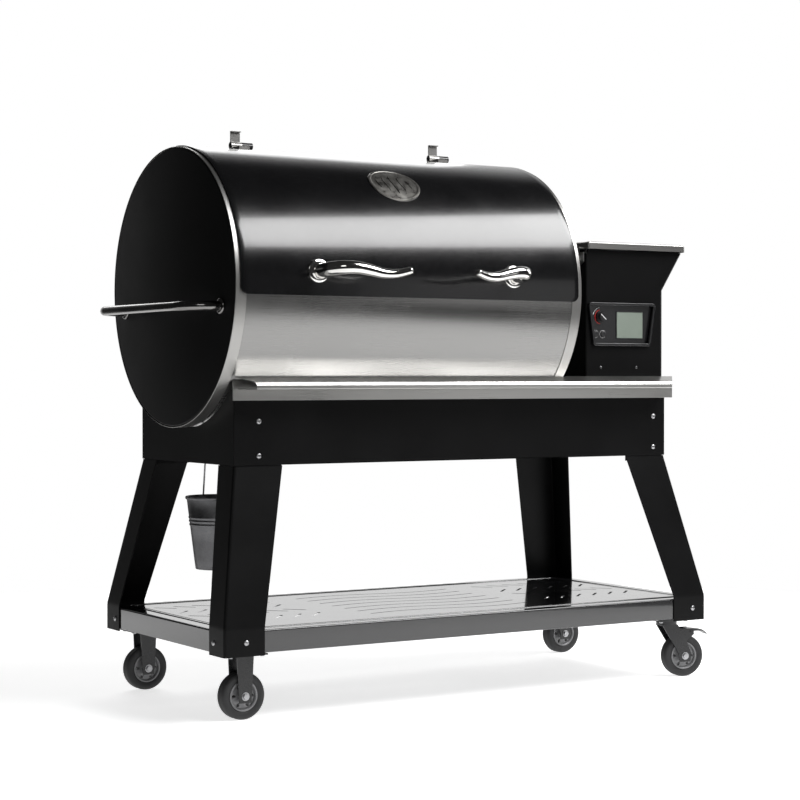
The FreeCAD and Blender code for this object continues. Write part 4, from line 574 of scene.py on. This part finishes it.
# ---------------------------------------------------------------- barrel
def make_barrel():
    for side, x, way in (("left", 0, 1), ("right", corners("end_cap_right")[1].x, -1)):
        disc = [(0, 0), (303.5, 0), (305.6, 0.5), (306.8, 1.6), (307.4, 3), (306.2, 3.2),
                (306.2, 20), (304.2, 20), (304.2, 5), (302, 3), (0, 3)]
        where = facing(mm(x, MIDDLE_Y, AXIS_Z), (way, 0, 0))
        cap = lathe("cap", disc, where, 160)
        pips = []
        for y, z in ((343, 1055), (123, 1053)):
            pips.append(lathe("pip", [(0, 0), (5.2, 0), (4.9, 0.5), (3.6, 1.0), (0, 1.1)],
                              facing(mm(x, y, z) + Vector((way * 0.0012, 0, 0)), (-way, 0, 0)), 24))
        if side == "right":
            low, high = corners("auger_tube")
            hole = lathe("hole", [(0, -30), (26.3, -30), (26.3, 30), (0, 30)],
                         facing(mm(x, MIDDLE_Y, (low.z + high.z) / 2), (1, 0, 0)), 48)
            cap = carved(cap, hole)
            pips = []
        show("end_disc_" + side, cap, "grill", "satin_black_steel", powder, "end_cap_" + side)
        if pips:
            show("end_disc_pips_" + side, joined("pips", *pips), "grill", "satin_black_steel", hinge_black)
    ring = [(308.7, 0), (309.4, 0), (310, 0.6), (310, 25.4), (309.4, 26), (308.7, 26)]
    rings = [lathe("band", ring, facing(mm(x, MIDDLE_Y, AXIS_Z), (way, 0, 0)), 192)
             for x, way in ((0, 1), (corners("end_cap_right")[1].x, -1))]
    show("barrel_rings", joined("barrel_rings", *rings), "grill", "brushed_stainless", brushed_steel_painted_dark,
         "barrel_bands")


def make_side_handle():
    low, high = corners("side_handle")
    radius, collar = 10.5, 17
    x, z = low.x + radius, (low.z + high.z) / 2
    spread = (high.y - low.y) / 2 - collar
    middle = (low.y + high.y) / 2
    path = [mm(0, middle - spread, z), mm(x, middle - spread, z), mm(x, middle + spread, z),
            mm(0, middle + spread, z)]
    bar = tube("bar", bent_line(path, 0.062, 18), radius, 32)
    cups = [lathe("cup", [(10.4, 0), (16.2, 0), (17, 0.8), (17, 3.5), (16, 5), (13, 6.2), (10.4, 6.6)],
                  facing(mm(0, y, z), (-1, 0, 0)), 48) for y in (middle - spread, middle + spread)]
    show("side_bar", joined("side_bar", bar, *cups), "grill", "polished_steel", chrome_painted_dark, "side_handle")


# ---------------------------------------------------------------- hopper
def hopper_loop(z, x0, x1, y0, y1, corner, nose=11):
    """A loop in metres from sizes in mm, with its front right corner cut off flat."""
    outline = [(x0, y0), (x1 - nose, y0), (x1, y0 + nose), (x1, y1), (x0, y1)]
    return [mm(x, y, z) for x, y in rounded(outline, [corner, 2, 2, corner, corner], 6)]


def make_hopper():
    low, high = corners("hopper_box")
    neck_x, neck_z = corners("apron_ends")[1].x, 938
    levels = [(low.z, neck_x), (neck_z - 2, neck_x), (neck_z, neck_x + 0.5), (neck_z + 2, neck_x + 2),
              (high.z - 0.6, high.x - 0.4), (high.z, high.x - 0.6)]
    skin = 2
    outer = [hopper_loop(z, low.x, x, low.y, high.y, 5) for z, x in levels]
    inner = [hopper_loop(z, low.x + skin, x - skin, low.y + skin, high.y - skin, 3, 9.8)
             for z, x in levels]
    body = lofted("hopper_body", outer + inner[::-1], True)
    window = panel_outline(2.5)
    cutter = plate("window", window, 30, panel_plane(-10), edge=0)
    a, b = corners("power_inlet")
    plug = block("plug", (a.x + 5, high.y - 8, a.z + 5), (b.x - 5, high.y + 8, b.z - 5), 0)
    notch = block("notch", (low.x - 4, -4, high.z - 9), (low.x + 5, 5, high.z + 4), 0)
    show("hopper_body", carved(body, cutter, plug, notch), "grill", "satin_black_steel", powder,
         "hopper_box")

    lid_low, lid_high = corners("hopper_lid")
    pan_x = low.x - 2
    shell = [hopper_loop(z, pan_x + g, lid_high.x - g, lid_low.y + g, lid_high.y - g, 5)
             for z, g in ((lid_high.z - 17, 1.5), (lid_high.z - 17, 0.3), (lid_high.z - 16, 0),
                          (lid_high.z - 4, 0), (lid_high.z - 2, 0.6), (lid_high.z - 0.6, 2.0),
                          (lid_high.z, 4))]
    inside = [hopper_loop(z, pan_x + g, lid_high.x - g, lid_low.y + g, lid_high.y - g, 4)
              for z, g in ((lid_high.z - 1.5, 4.5), (lid_high.z - 2.5, 1.6))]
    pan = lofted("pan", inside + shell)
    arms = []
    for y in (26, high.y - 26):
        pin_x, pin_z = lid_low.x + 5.5, lid_low.z + 5.5
        arms.append(block("arm", (pin_x - 5.5, y - 7, pin_z), (pin_x + 5.5, y + 7, lid_high.z - 13), 1))
        arms.append(block("tie", (pin_x - 5.5, y - 20, lid_high.z - 16), (low.x + 6, y + 20,
                                                                         lid_high.z - 13), 0.8))
        arms.append(lathe("eye", [(3.1, -7), (5, -7), (5.5, -6.5), (5.5, 6.5), (5, 7), (3.1, 7)],
                          facing(mm(pin_x, y, pin_z), (0, 1, 0)), 32))
    show("hopper_cover", joined("hopper_cover", pan, *arms), "hopper_lid", "brushed_stainless", brushed_steel_painted_dark,
         "hopper_lid")

    rivets = []
    for y in (26, high.y - 26):
        for dy in (-12, 12):
            rivets.append(screw_head(mm(low.x - 2.5, y + dy, high.z - 16), (-1, 0, 0), 3.6, 1.8))
    show("gusset_screws", joined("gusset_screws", *rivets), "grill", "caster_zinc", zinc)


def screw_head(centre, direction, radius, height):
    """A domed head with a cross recess."""
    dome = lathe("head", [(0, 0), (radius, 0), (radius, height * 0.25), (radius * 0.86, height * 0.62),
                          (radius * 0.5, height * 0.93), (0, height)], facing(centre, direction), 32)
    slots = []
    for turn in (0, math.pi / 2):
        where = facing(centre, direction) @ Matrix.Rotation(turn, 4, "Z")
        slots.append(plate("slot", rounded(box_loop(-radius * 0.42, -radius * 0.1, radius * 0.42,
                                                    radius * 0.1), 0.1, 2), height,
                           where @ Matrix.Translation((0, 0, height * 0.00055)), edge=0))
    return carved(dome, *slots[:1]) if radius < 3 else carved(carved(dome, slots[0]), slots[1])


def make_screws():
    """The cart's screw heads, and the two smaller ones at the foot of the hopper."""
    hopper_foot = corners("hopper_box")[0].z
    heads, small = [], []
    for low, high in islands("screws"):
        size = high - low
        axis = min(range(3), key=lambda k: size[k])
        centre = (low + high) / 2
        whole_low, whole_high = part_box("bottom_shelf")
        way = -1 if centre[axis] < (whole_low + whole_high)[axis] / 2 else 1
        centre[axis] = low[axis] if way > 0 else high[axis]
        direction = Vector((0, 0, 0))
        direction[axis] = way
        if centre.z * 1000 > hopper_foot:
            small.append(screw_head(centre, direction, 3.4, 1.8))
        else:
            heads.append(screw_head(centre, direction, 6, 3))
    show("cart_screws", joined("cart_screws", *heads), "grill", "caster_zinc", zinc, "screws")
    show("hopper_screws", joined("hopper_screws", *small), "grill", "caster_zinc", dark_zinc)


# ---------------------------------------------------------------- controller
def panel_outline(inset):
    """The controller's outline in mm in the plane of the hopper's front, narrower at the foot."""
    low, high = corners("control_bezel")
    wide, tall, cut = high.x - low.x, high.z - low.z, 15
    return rounded([(cut + inset * 1.0, inset), (wide - cut - inset, inset), (wide - inset, tall - inset),
                    (inset, tall - inset)], max(1.5, 8 - inset), 5)


def panel_plane(depth):
    """Local XY in the hopper's front, from the bezel's lower left corner; local Z points into it."""
    low = corners("control_bezel")[0]
    return Matrix.Translation(mm(low.x, depth, low.z)) @ Matrix.Rotation(math.pi / 2, 4, "X") \
        @ Matrix.Diagonal((1, 1, -1, 1))


def make_controller():
    low = corners("control_bezel")[0]
    face = corners("control_screen")[1].y
    frame_mesh = plate("bezel", panel_outline(0), 6.8, panel_plane(low.y),
                       [panel_outline(6.5)[::-1]], 1.4, 3)
    show("controller_frame", frame_mesh, "grill", "black_plastic", shiny_plastic, "control_bezel")
    front = plate("front", panel_outline(3.3), 2.0, panel_plane(face), edge=0.2)
    back = plate("back", panel_outline(7), 18, panel_plane(face + 2.0), edge=1)
    show("controller_face", joined("controller_face", front, back), "grill", "black_plastic",
         shiny_plastic, "control_panel")
    a, b = corners("control_screen")
    screen = block("screen", a, b, 0.7)
    show("controller_screen", screen, "grill", "screen_glass", liquid_crystal, "control_screen")
    rim = plate("rim", rounded(box_loop(-2.5, -2.5, b.x - a.x + 2.5, b.z - a.z + 2.5), 3, 4), 1.0,
                Matrix.Translation(mm(a.x, face - 1.0, a.z)) @ Matrix.Rotation(math.pi / 2, 4, "X")
                @ Matrix.Diagonal((1, 1, -1, 1)),
                [box_loop(-0.1, -0.1, b.x - a.x + 0.1, b.z - a.z + 0.1)[::-1]], 0.3)
    show("screen_rim", rim, "grill", "black_plastic", plastic)
    make_knob(face)
    marks = []
    for name in ("control_button_left", "control_button_right"):
        p, q = corners(name)
        centre = mm((p.x + q.x) / 2, face - 0.1, (p.z + q.z) / 2)
        button = lathe(name, [(0, -8), (3, -8), (3, 1.8), (7.1, 1.8), (7.5, 2.2), (7.5, 3.4), (6.6, 4.3),
                              (4.5, 4.7), (2.5, 4.2), (0, 4.0)], facing(centre, (0, -1, 0)), 48)
        show(name.replace("control_", "press_"), button, name.replace("control_", ""), "black_plastic",
             plastic, name)
        marks.append(lathe("ring", [(8.6, -0.1), (9.2, -0.1), (9.2, 0.25), (8.6, 0.25)],
                           facing(centre, (0, -1, 0)), 48))
    show("button_rings", joined("button_rings", *marks), "grill", "black_plastic", white_mark)


def make_knob(face):
    p, q = corners("control_knob")
    centre = mm((p.x + q.x) / 2, face, (p.z + q.z) / 2)
    where = facing(centre, (0, -1, 0))
    profile = [(0, -8), (3, -8), (3, 0.4), (12.6, 0.4), (13, 0.9), (12.7, 5), (11.9, 5.8), (11.0, 12),
               (10.3, 12.9), (8, 13), (0, 12.7)]
    body = lathe("knob", profile, where, 120)
    inverse = where.inverted()
    for v in body.vertices:
        p = inverse @ v.co
        r = math.hypot(p.x, p.y)
        if 0.006 < p.z < 0.0128 and r > 0.0095:
            k = 1 - 0.035 * (1 + math.cos(24 * math.atan2(p.y, p.x)))
            v.co = where @ Vector((p.x * k, p.y * k, p.z))
    show("temperature_knob", body, "knob", "black_plastic", plastic, "control_knob")
    pointer = plate("pointer", rounded(box_loop(-0.9, -10.2, 0.9, 10.2), 0.8, 3), 0.5,
                    where @ Matrix.Rotation(0.87, 4, "Z") @ Matrix.Translation((0, 0, 0.0126)), edge=0.1)
    show("knob_pointer", pointer, "knob", "black_plastic", white_mark)

    def arc(r0, r1, a0, a1):
        steps = [a0 + (a1 - a0) * n / 24 for n in range(25)]
        loop = [(r1 * math.cos(a), r1 * math.sin(a)) for a in steps]
        loop += [(r0 * math.cos(a), r0 * math.sin(a)) for a in reversed(steps)]
        return loop
    hot = plate("hot", arc(15.4, 17.4, 1.7, 4.6), 0.3, where, edge=0)
    cool = plate("cool", arc(21.6, 22.8, 1.7, 2.9), 0.3, where, edge=0)
    show("knob_red_arc", hot, "grill", "black_plastic", red_mark)
    show("knob_white_arc", cool, "grill", "black_plastic", white_mark)


# ---------------------------------------------------------------- cart
def make_ledge():
    """A folded stainless ledge with slanted ends."""
    low, high = corners("front_ledge")
    depth = -low.y
    outline = rounded([(0, 729), (-57, 717), (-62, 710), (-62, 701), (-14, 701), (-14, 702.5),
                       (-60.5, 702.5), (-60.5, 710), (-56, 715.4), (-1.5, 727.2), (-1.5, 677), (0, 677)],
                      [0.4, 5, 4, 1.6, 0.3, 0.3, 0.4, 2.5, 4, 0.3, 0.3, 0.3], 5)
    where = Matrix(((0, 0, 1, START_X), (1, 0, 0, START_Y), (0, 1, 0, 0), (0, 0, 0, 1)))
    fold = swept("ledge", outline, lambda y, z: low.x - 26 * y / depth, lambda y, z: high.x + 52 * y / depth,
                 where)
    barrel_clear = 310.4
    past_end = corners("end_cap_right")[1].x + 10
    barrel = lathe("barrel", [(0, -10), (barrel_clear, -10), (barrel_clear, past_end), (0, past_end)],
                   facing(mm(0, MIDDLE_Y, AXIS_Z), (1, 0, 0)), 160)
    show("ledge_fold", carved(fold, barrel), "grill", "brushed_stainless", brushed_x, "front_ledge")


def make_shelf():
    """A folded pan, open below inside its lip, with two rows of beads and the slots."""
    low, high = corners("bottom_shelf")
    skin, lip = 2, 22

    def ring(z, inset, corner):
        loop = box_loop(low.x + inset, low.y + inset, high.x - inset, high.y - inset)
        return [mm(x, y, z) for x, y in rounded(loop, corner, 4)]
    outer = [ring(low.z, lip, 3), ring(low.z, 1.5, 4), ring(low.z + 0.5, 0.4, 4), ring(low.z + 1.5, 0, 4),
             ring(high.z - 4, 0, 4), ring(high.z - 1.8, 0.7, 4), ring(high.z - 0.7, 1.8, 4),
             ring(high.z, 4, 4)]
    inner = [ring(high.z - skin, 5, 4), ring(high.z - 4.5, skin, 4), ring(low.z + skin, skin, 3),
             ring(low.z + skin, lip, 3)]
    pan = lofted("shelf_pan", inner + outer)
    slots = shelf_slots(low, high)
    show("shelf_pan", carved(pan, *slots), "grill", "satin_black_steel", gloss, "bottom_shelf")
    beads = []
    for inset, wide in ((34, 5), (46, 3)):
        loop = rounded(box_loop(low.x + inset, low.y + inset, high.x - inset, high.y - inset), 16, 6)
        line = [mm(x, y, high.z - 0.6) for x, y in loop]
        beads.append(tube("bead", line + line[:2], wide * 0.42, 10))
    show("shelf_beads", joined("shelf_beads", *beads), "grill", "satin_black_steel", gloss)


def shelf_slots(low, high):
    """Slanted slots near both ends and long wavy slots between, cut through the shelf's sheet."""
    top = Matrix.Translation(mm(0, 0, high.z - 6))
    cutters = []
    rows = [105, 205, 290, 385]
    for first, last in ((low.x + 85, low.x + 330), (high.x - 330, high.x - 85)):
        for i, y in enumerate(rows):
            lean = 1 if i % 2 == 0 else -1
            x = first
            while x < last:
                place = top @ Matrix.Translation((x / 1000, (y + 15) / 1000, 0)) \
                    @ Matrix.Rotation(math.radians(45 * lean), 4, "Z")
                cutters.append(plate("slot", rounded(box_loop(-28, -3.2, 28, 3.2), 3.1, 4), 12, place,
                                     edge=0))
                x += 48
    middle = (low.x + high.x) / 2
    for i in range(7):
        y = 60 + i * 58
        wave = []
        for edge in (1, -1):
            steps = [n / 48 for n in (range(49) if edge > 0 else range(48, -1, -1))]
            wave += [(middle - 215 + 430 * t, y + 15 * math.sin(2 * math.pi * t) + 2.6 * edge)
                     for t in steps]
        cutters.append(plate("wave", wave, 12, top, edge=0))
    return cutters


def make_legs():
    """L-section legs with a rounded outer bend, flared below the cart."""
    skin, lift = 3, 2.5
    apron_low, apron_high = corners("apron_front")
    for name in ("leg_front_left", "leg_front_right", "leg_rear_left", "leg_rear_right"):
        low, high = corners(name)
        way_x = 1 if "left" in name else -1
        way_y = 1 if "front" in name else -1
        top_x = apron_low.x if way_x > 0 else apron_high.x
        top_y = 0 if way_y > 0 else 2 * MIDDLE_Y
        foot_x = low.x if way_x > 0 else high.x
        foot_y = low.y if way_y > 0 else high.y

        def ring(z, x, y, wide, deep):
            outline = rounded([(0, 0), (wide, 0), (wide, skin), (skin, skin), (skin, deep), (0, deep)],
                              [6, 0.6, 0.6, 3, 0.6, 0.6], 4)
            return [mm(x + way_x * u, y + way_y * v, z) for u, v in outline]
        hem = apron_low.z - 1
        inside = (top_x + way_x * lift, top_y + way_y * lift, 114, 71)
        upper = lofted("upper", [ring(hem - 11, *inside), ring(high.z, *inside)])
        spread = [(hem, 0), (hem - 3, 0)]
        knee = low.z + 59
        spread += [(knee + 8, 1 - 8 / (hem - knee)), (knee + 3, 1 - 2.0 / (hem - knee)), (knee - 4, 1),
                   (low.z, 1)]
        flare = lofted("flare", [ring(z, top_x + (foot_x - top_x) * t, top_y + (foot_y - top_y) * t,
                                      117 - 21 * t, 74 - 3 * t) for z, t in spread])
        show(name.replace("leg_", "splayed_leg_"), joined(name, upper, flare), "grill",
             "satin_black_steel", powder, name)


def make_aprons():
    low, high = corners("apron_front")
    for name, way, y in (("apron_front", 1, 0), ("apron_back", -1, 2 * MIDDLE_Y)):
        wall = block("wall", (low.x, min(y, y + way * 2.5), low.z), (high.x, max(y, y + way * 2.5), high.z),
                     0.9, 3)
        lip_y = sorted((y, y + way * 20))
        lip = block("lip", (low.x + 119, lip_y[0], low.z), (high.x - 119, lip_y[1], low.z + 2.5), 0.9, 3)
        show(name.replace("apron", "skirt"), joined(name, wall, lip), "grill", "satin_black_steel", powder,
             name)


# ---------------------------------------------------------------- casters
def make_wheels():
    spots = {"front_left": "grill", "rear_left": "grill", "front_right": "caster_front",
             "rear_right": "caster_rear"}
    joints = {j["child"]: j for j in frame["joints"]}
    for where, parent in spots.items():
        name = "wheel_" + where
        joint = joints[name]
        place = facing(Vector(joint["pos_m"]), Vector(joint["axis"]))
        tread = [(33, -13), (36, -14.6), (42, -15.6), (46, -15.4), (49.2, -13.2), (50.4, -10.5),
                 (50.8, -7), (50.8, -1.2), (50.2, -0.6), (50.2, 0.6), (50.8, 1.2), (50.8, 7),
                 (50.4, 10.5), (49.2, 13.2), (46, 15.4), (42, 15.6), (36, 14.6), (33, 13)]
        show("tyre_" + where, lathe("tyre", tread, place, 96), name, "tyre_rubber", tyre, name)
        rim = lathe("rim", [(28, -12.4), (30, -14.2), (32.5, -14.2), (33, -13), (33, 13), (32.5, 14.2),
                            (30, 14.2), (28, 12.4)], place, 72)
        boss = lathe("boss", [(4.1, -16), (9.6, -16), (10.6, -15), (12.5, -9), (12.5, 9), (10.6, 15),
                              (9.6, 16), (4.1, 16)], place, 48)
        drops = []
        for i in range(6):
            spin = Matrix.Rotation(math.radians(60 * i), 2)
            drop = [(15 + 11.5 * t, 4.6 * math.sin(math.pi * t) * (0.35 + 0.65 * t)) for t in
                    [n / 12 for n in range(13)]]
            loop = drop + [(x, -y) for x, y in reversed(drop[1:-1])]
            drops.append([tuple(spin @ Vector(p)) for p in loop][::-1])
        circle = [(29 * math.cos(a), 29 * math.sin(a)) for a in [2 * math.pi * k / 72 for k in range(72)]]
        disc = plate("disc", circle, 16, place @ Matrix.Translation((0, 0, -0.008)), drops, 0.7)
        disc = carved(disc, lathe("bore", [(0, -40), (11, -40), (11, 40), (0, 40)], place, 48))
        show("hub_" + where, joined("hub", rim, boss, disc), name, "tyre_rubber", hub_grey)
        nuts = []
        for way in (-1, 1):
            end = place @ Matrix.Translation((0, 0, way * 0.0225)) @ Matrix.Rotation(
                0 if way > 0 else math.pi, 4, "X")
            hexagon = [(7 * math.cos(math.radians(60 * k)), 7 * math.sin(math.radians(60 * k)))
                       for k in range(6)]
            nuts.append(plate("nut", hexagon, 4.5, end, edge=0.7))
            nuts.append(lathe("washer", [(3.9, -0.9), (9, -0.9), (9, 0), (3.9, 0)], end, 32))
        show("axle_nuts_" + where, joined("nuts", *nuts), parent, "caster_zinc", zinc)


def make_caster_bolts():
    """Four bolt heads under each caster plate."""
    low, high = corners("caster_mounts")
    hexagon = [(5 * math.cos(math.radians(60 * k)), 5 * math.sin(math.radians(60 * k))) for k in range(6)]
    plate_x, plate_y, bolt_x, bolt_y = 47, 35, 38, 26
    bolts = []
    for x in (low.x + plate_x, high.x - plate_x):
        for y in (low.y + plate_y, high.y - plate_y):
            for dx in (-bolt_x, bolt_x):
                for dy in (-bolt_y, bolt_y):
                    where = Matrix.Translation(mm(x + dx, y + dy, high.z - 6.5))
                    bolts.append(plate("bolt", hexagon, 3.6, where, edge=0.5))
    show("caster_bolts", joined("caster_bolts", *bolts), "grill", "caster_zinc", zinc)


# ---------------------------------------------------------------- bucket
def make_bucket():
    low, high = corners("grease_bucket")
    x, y = (low.x + high.x) / 2, (low.y + high.y) / 2
    tall = high.z - low.z

    def radius(h):
        return 52 + 20 * h / tall
    profile = [(0, 2.2), (44, 2.2), (46, 0), (51, 0), (52, 1.2)]
    for h in (20, 60, 96, 104, 112):
        profile.append((radius(h), h))
        if h >= 96:
            profile += [(radius(h + 2) + 1.3, h + 2), (radius(h + 4) + 1.3, h + 4), (radius(h + 6), h + 6)]
    profile += [(radius(tall - 8), tall - 8), (radius(tall) + 1.8, tall - 6), (radius(tall) + 2.5, tall - 4),
                (radius(tall) + 2.3, tall - 1), (radius(tall) + 0.8, tall), (radius(tall) - 1, tall - 1.4),
                (radius(tall - 8) - 1.2, tall - 8), (50.8, 4), (0, 4)]
    pail = lathe("pail", profile, Matrix.Translation(mm(x, y, low.z)), 96)
    ears = []
    for way in (-1, 1):
        ears.append(lathe("ear", [(0, 0), (9, 0), (9, 0.8), (7.5, 1.6), (2.4, 1.8), (2.4, 8), (0, 8)],
                          facing(mm(x, y + way * (radius(tall - 9) - 0.4), high.z - 9), (0, way, 0)), 32))
    show("drip_bucket", joined("drip_bucket", pail, *ears), "bucket", "galvanised_steel", galvanised,
         "grease_bucket")


# ---------------------------------------------------------------- finishes of the CAD pieces kept as they are
CAD_FINISH = {
    "barrel_shell": barrel_steel_painted_dark, "hopper_lid_brackets": brushed_z, "temperature_probe": polished,
    "hinge_leaves_lid": brushed_steel_painted_dark, "hinge_leaves_barrel": hinge_black, "exhaust_hood": powder,
    "apron_ends": powder, "caster_mounts": hinge_black, "caster_fork_front_right": hinge_black,
    "caster_fork_rear_right": hinge_black, "brake_pedal_front_right": hinge_black,
    "brake_pedal_rear_right": hinge_black, "cooking_grate_left": cooking, "cooking_grate_right": cooking,
    "fire_pot": cooking, "inside_rails": cooking, "grease_tray": sheet, "heat_deflector": sheet,
    "hopper_chute": sheet, "hopper_guard": zinc, "auger_tube": sheet, "auger_screw": zinc,
    "drip_spout": zinc, "igniter_rod": ceramic, "auger_motor": zinc, "bucket_bail": zinc,
    "fan_housing": plastic, "fan_impeller": plastic, "power_inlet": plastic,
}


def finish_cad():
    for name, obj in NODES.items():
        finish = CAD_FINISH.get(name)
        if finish is None or obj.hide_render:
            continue
        obj.data.materials.clear()
        obj.data.materials.append(finish)


make_lid()
make_barrel()
make_side_handle()
make_hopper()
make_screws()
make_controller()
make_ledge()
make_shelf()
make_legs()
make_aprons()
make_wheels()
make_caster_bolts()
make_bucket()
finish_cad()


# ---------------------------------------------------------------- studio
def make_studio():
    floor = bpy.data.meshes.new("floor")
    bm = bmesh.new()
    bmesh.ops.create_circle(bm, cap_ends=True, segments=128, radius=2.4)
    bm.to_mesh(floor)
    bm.free()
    ground = bpy.data.objects.new("floor", floor)
    bpy.context.scene.collection.objects.link(ground)
    pale = material("pale_floor", (0.86, 0.86, 0.86), 0.7, 0.0, 0.01, 2, (20, 20, 20), 0.02, 0.0005, 0.05)
    glow = pale.node_tree.nodes["Principled BSDF"].inputs
    glow["Emission Color"].default_value = (1, 1, 1, 1)
    glow["Emission Strength"].default_value = 0.7
    floor.materials.append(pale)

    for name, spot, target, size, power in (
            ("overhead", (1.9, -1.95, 3.35), (0, -0.1, 1.0), (3.2, 1.35), 175),
            ("front_right", (2.6, -3.8, 0.9), (0.2, 0, 0.8), (1.4, 1.6), 5),
            ("front_left", (-2.8, -3.6, 2.4), (0, 0, 0.8), (1.6, 1.0), 12),
            ("right_box", (3.4, -0.2, 1.8), (0.3, 0, 0.8), (1.2, 2.0), 20),
            ("back_box", (0.8, 3.2, 2.8), (0, 0, 0.8), (3.0, 1.4), 30)):
        light = bpy.data.lights.new(name, "AREA")
        light.shape = "RECTANGLE"
        light.size, light.size_y = size
        light.energy = power
        lamp = bpy.data.objects.new(name, light)
        lamp.location = spot
        lamp.rotation_euler = (Vector(target) - Vector(spot)).to_track_quat("-Z", "Y").to_euler()
        bpy.context.scene.collection.objects.link(lamp)

    world = bpy.data.worlds.new("studio")
    bpy.context.scene.world = world
    world.use_nodes = True
    tree = world.node_tree
    link = tree.links.new
    backdrop = tree.nodes["Background"]
    backdrop.inputs["Color"].default_value = (1, 1, 1, 1)
    room = tree.nodes.new("ShaderNodeBackground")
    place = tree.nodes.new("ShaderNodeTexCoord")
    toward = tree.nodes.new("ShaderNodeVectorMath")
    toward.operation = "DOT_PRODUCT"
    toward.inputs[1].default_value = (math.sin(CAMERA_TURN), math.cos(CAMERA_TURN), 0)
    link(place.outputs["Generated"], toward.inputs[0])
    span = tree.nodes.new("ShaderNodeMapRange")
    span.interpolation_type = "SMOOTHSTEP"
    span.inputs["From Min"].default_value = 0.6
    span.inputs["From Max"].default_value = 0.92
    span.inputs["To Min"].default_value = 0.03
    span.inputs["To Max"].default_value = 1.0
    link(toward.outputs["Value"], span.inputs["Value"])
    link(span.outputs["Result"], room.inputs["Strength"])
    ray = tree.nodes.new("ShaderNodeLightPath")
    choice = tree.nodes.new("ShaderNodeMixShader")
    link(ray.outputs["Is Camera Ray"], choice.inputs["Fac"])
    link(room.outputs["Background"], choice.inputs[1])
    link(backdrop.outputs["Background"], choice.inputs[2])
    link(choice.outputs["Shader"], tree.nodes["World Output"].inputs["Surface"])
    bpy.context.scene.view_settings.view_transform = "Standard"

    camera = bpy.data.objects.new("camera", bpy.data.cameras.new("camera"))
    camera.data.sensor_width = 36
    camera.data.lens = 90.7
    camera.data.clip_end = 200
    camera.location = (-2.5346, -4.0149, 0.7283)
    camera.rotation_euler = (math.radians(90 - 0.67), 0, -CAMERA_TURN)
    bpy.context.scene.collection.objects.link(camera)
    bpy.context.scene.camera = camera


make_studio()

bpy.context.view_layer.update()
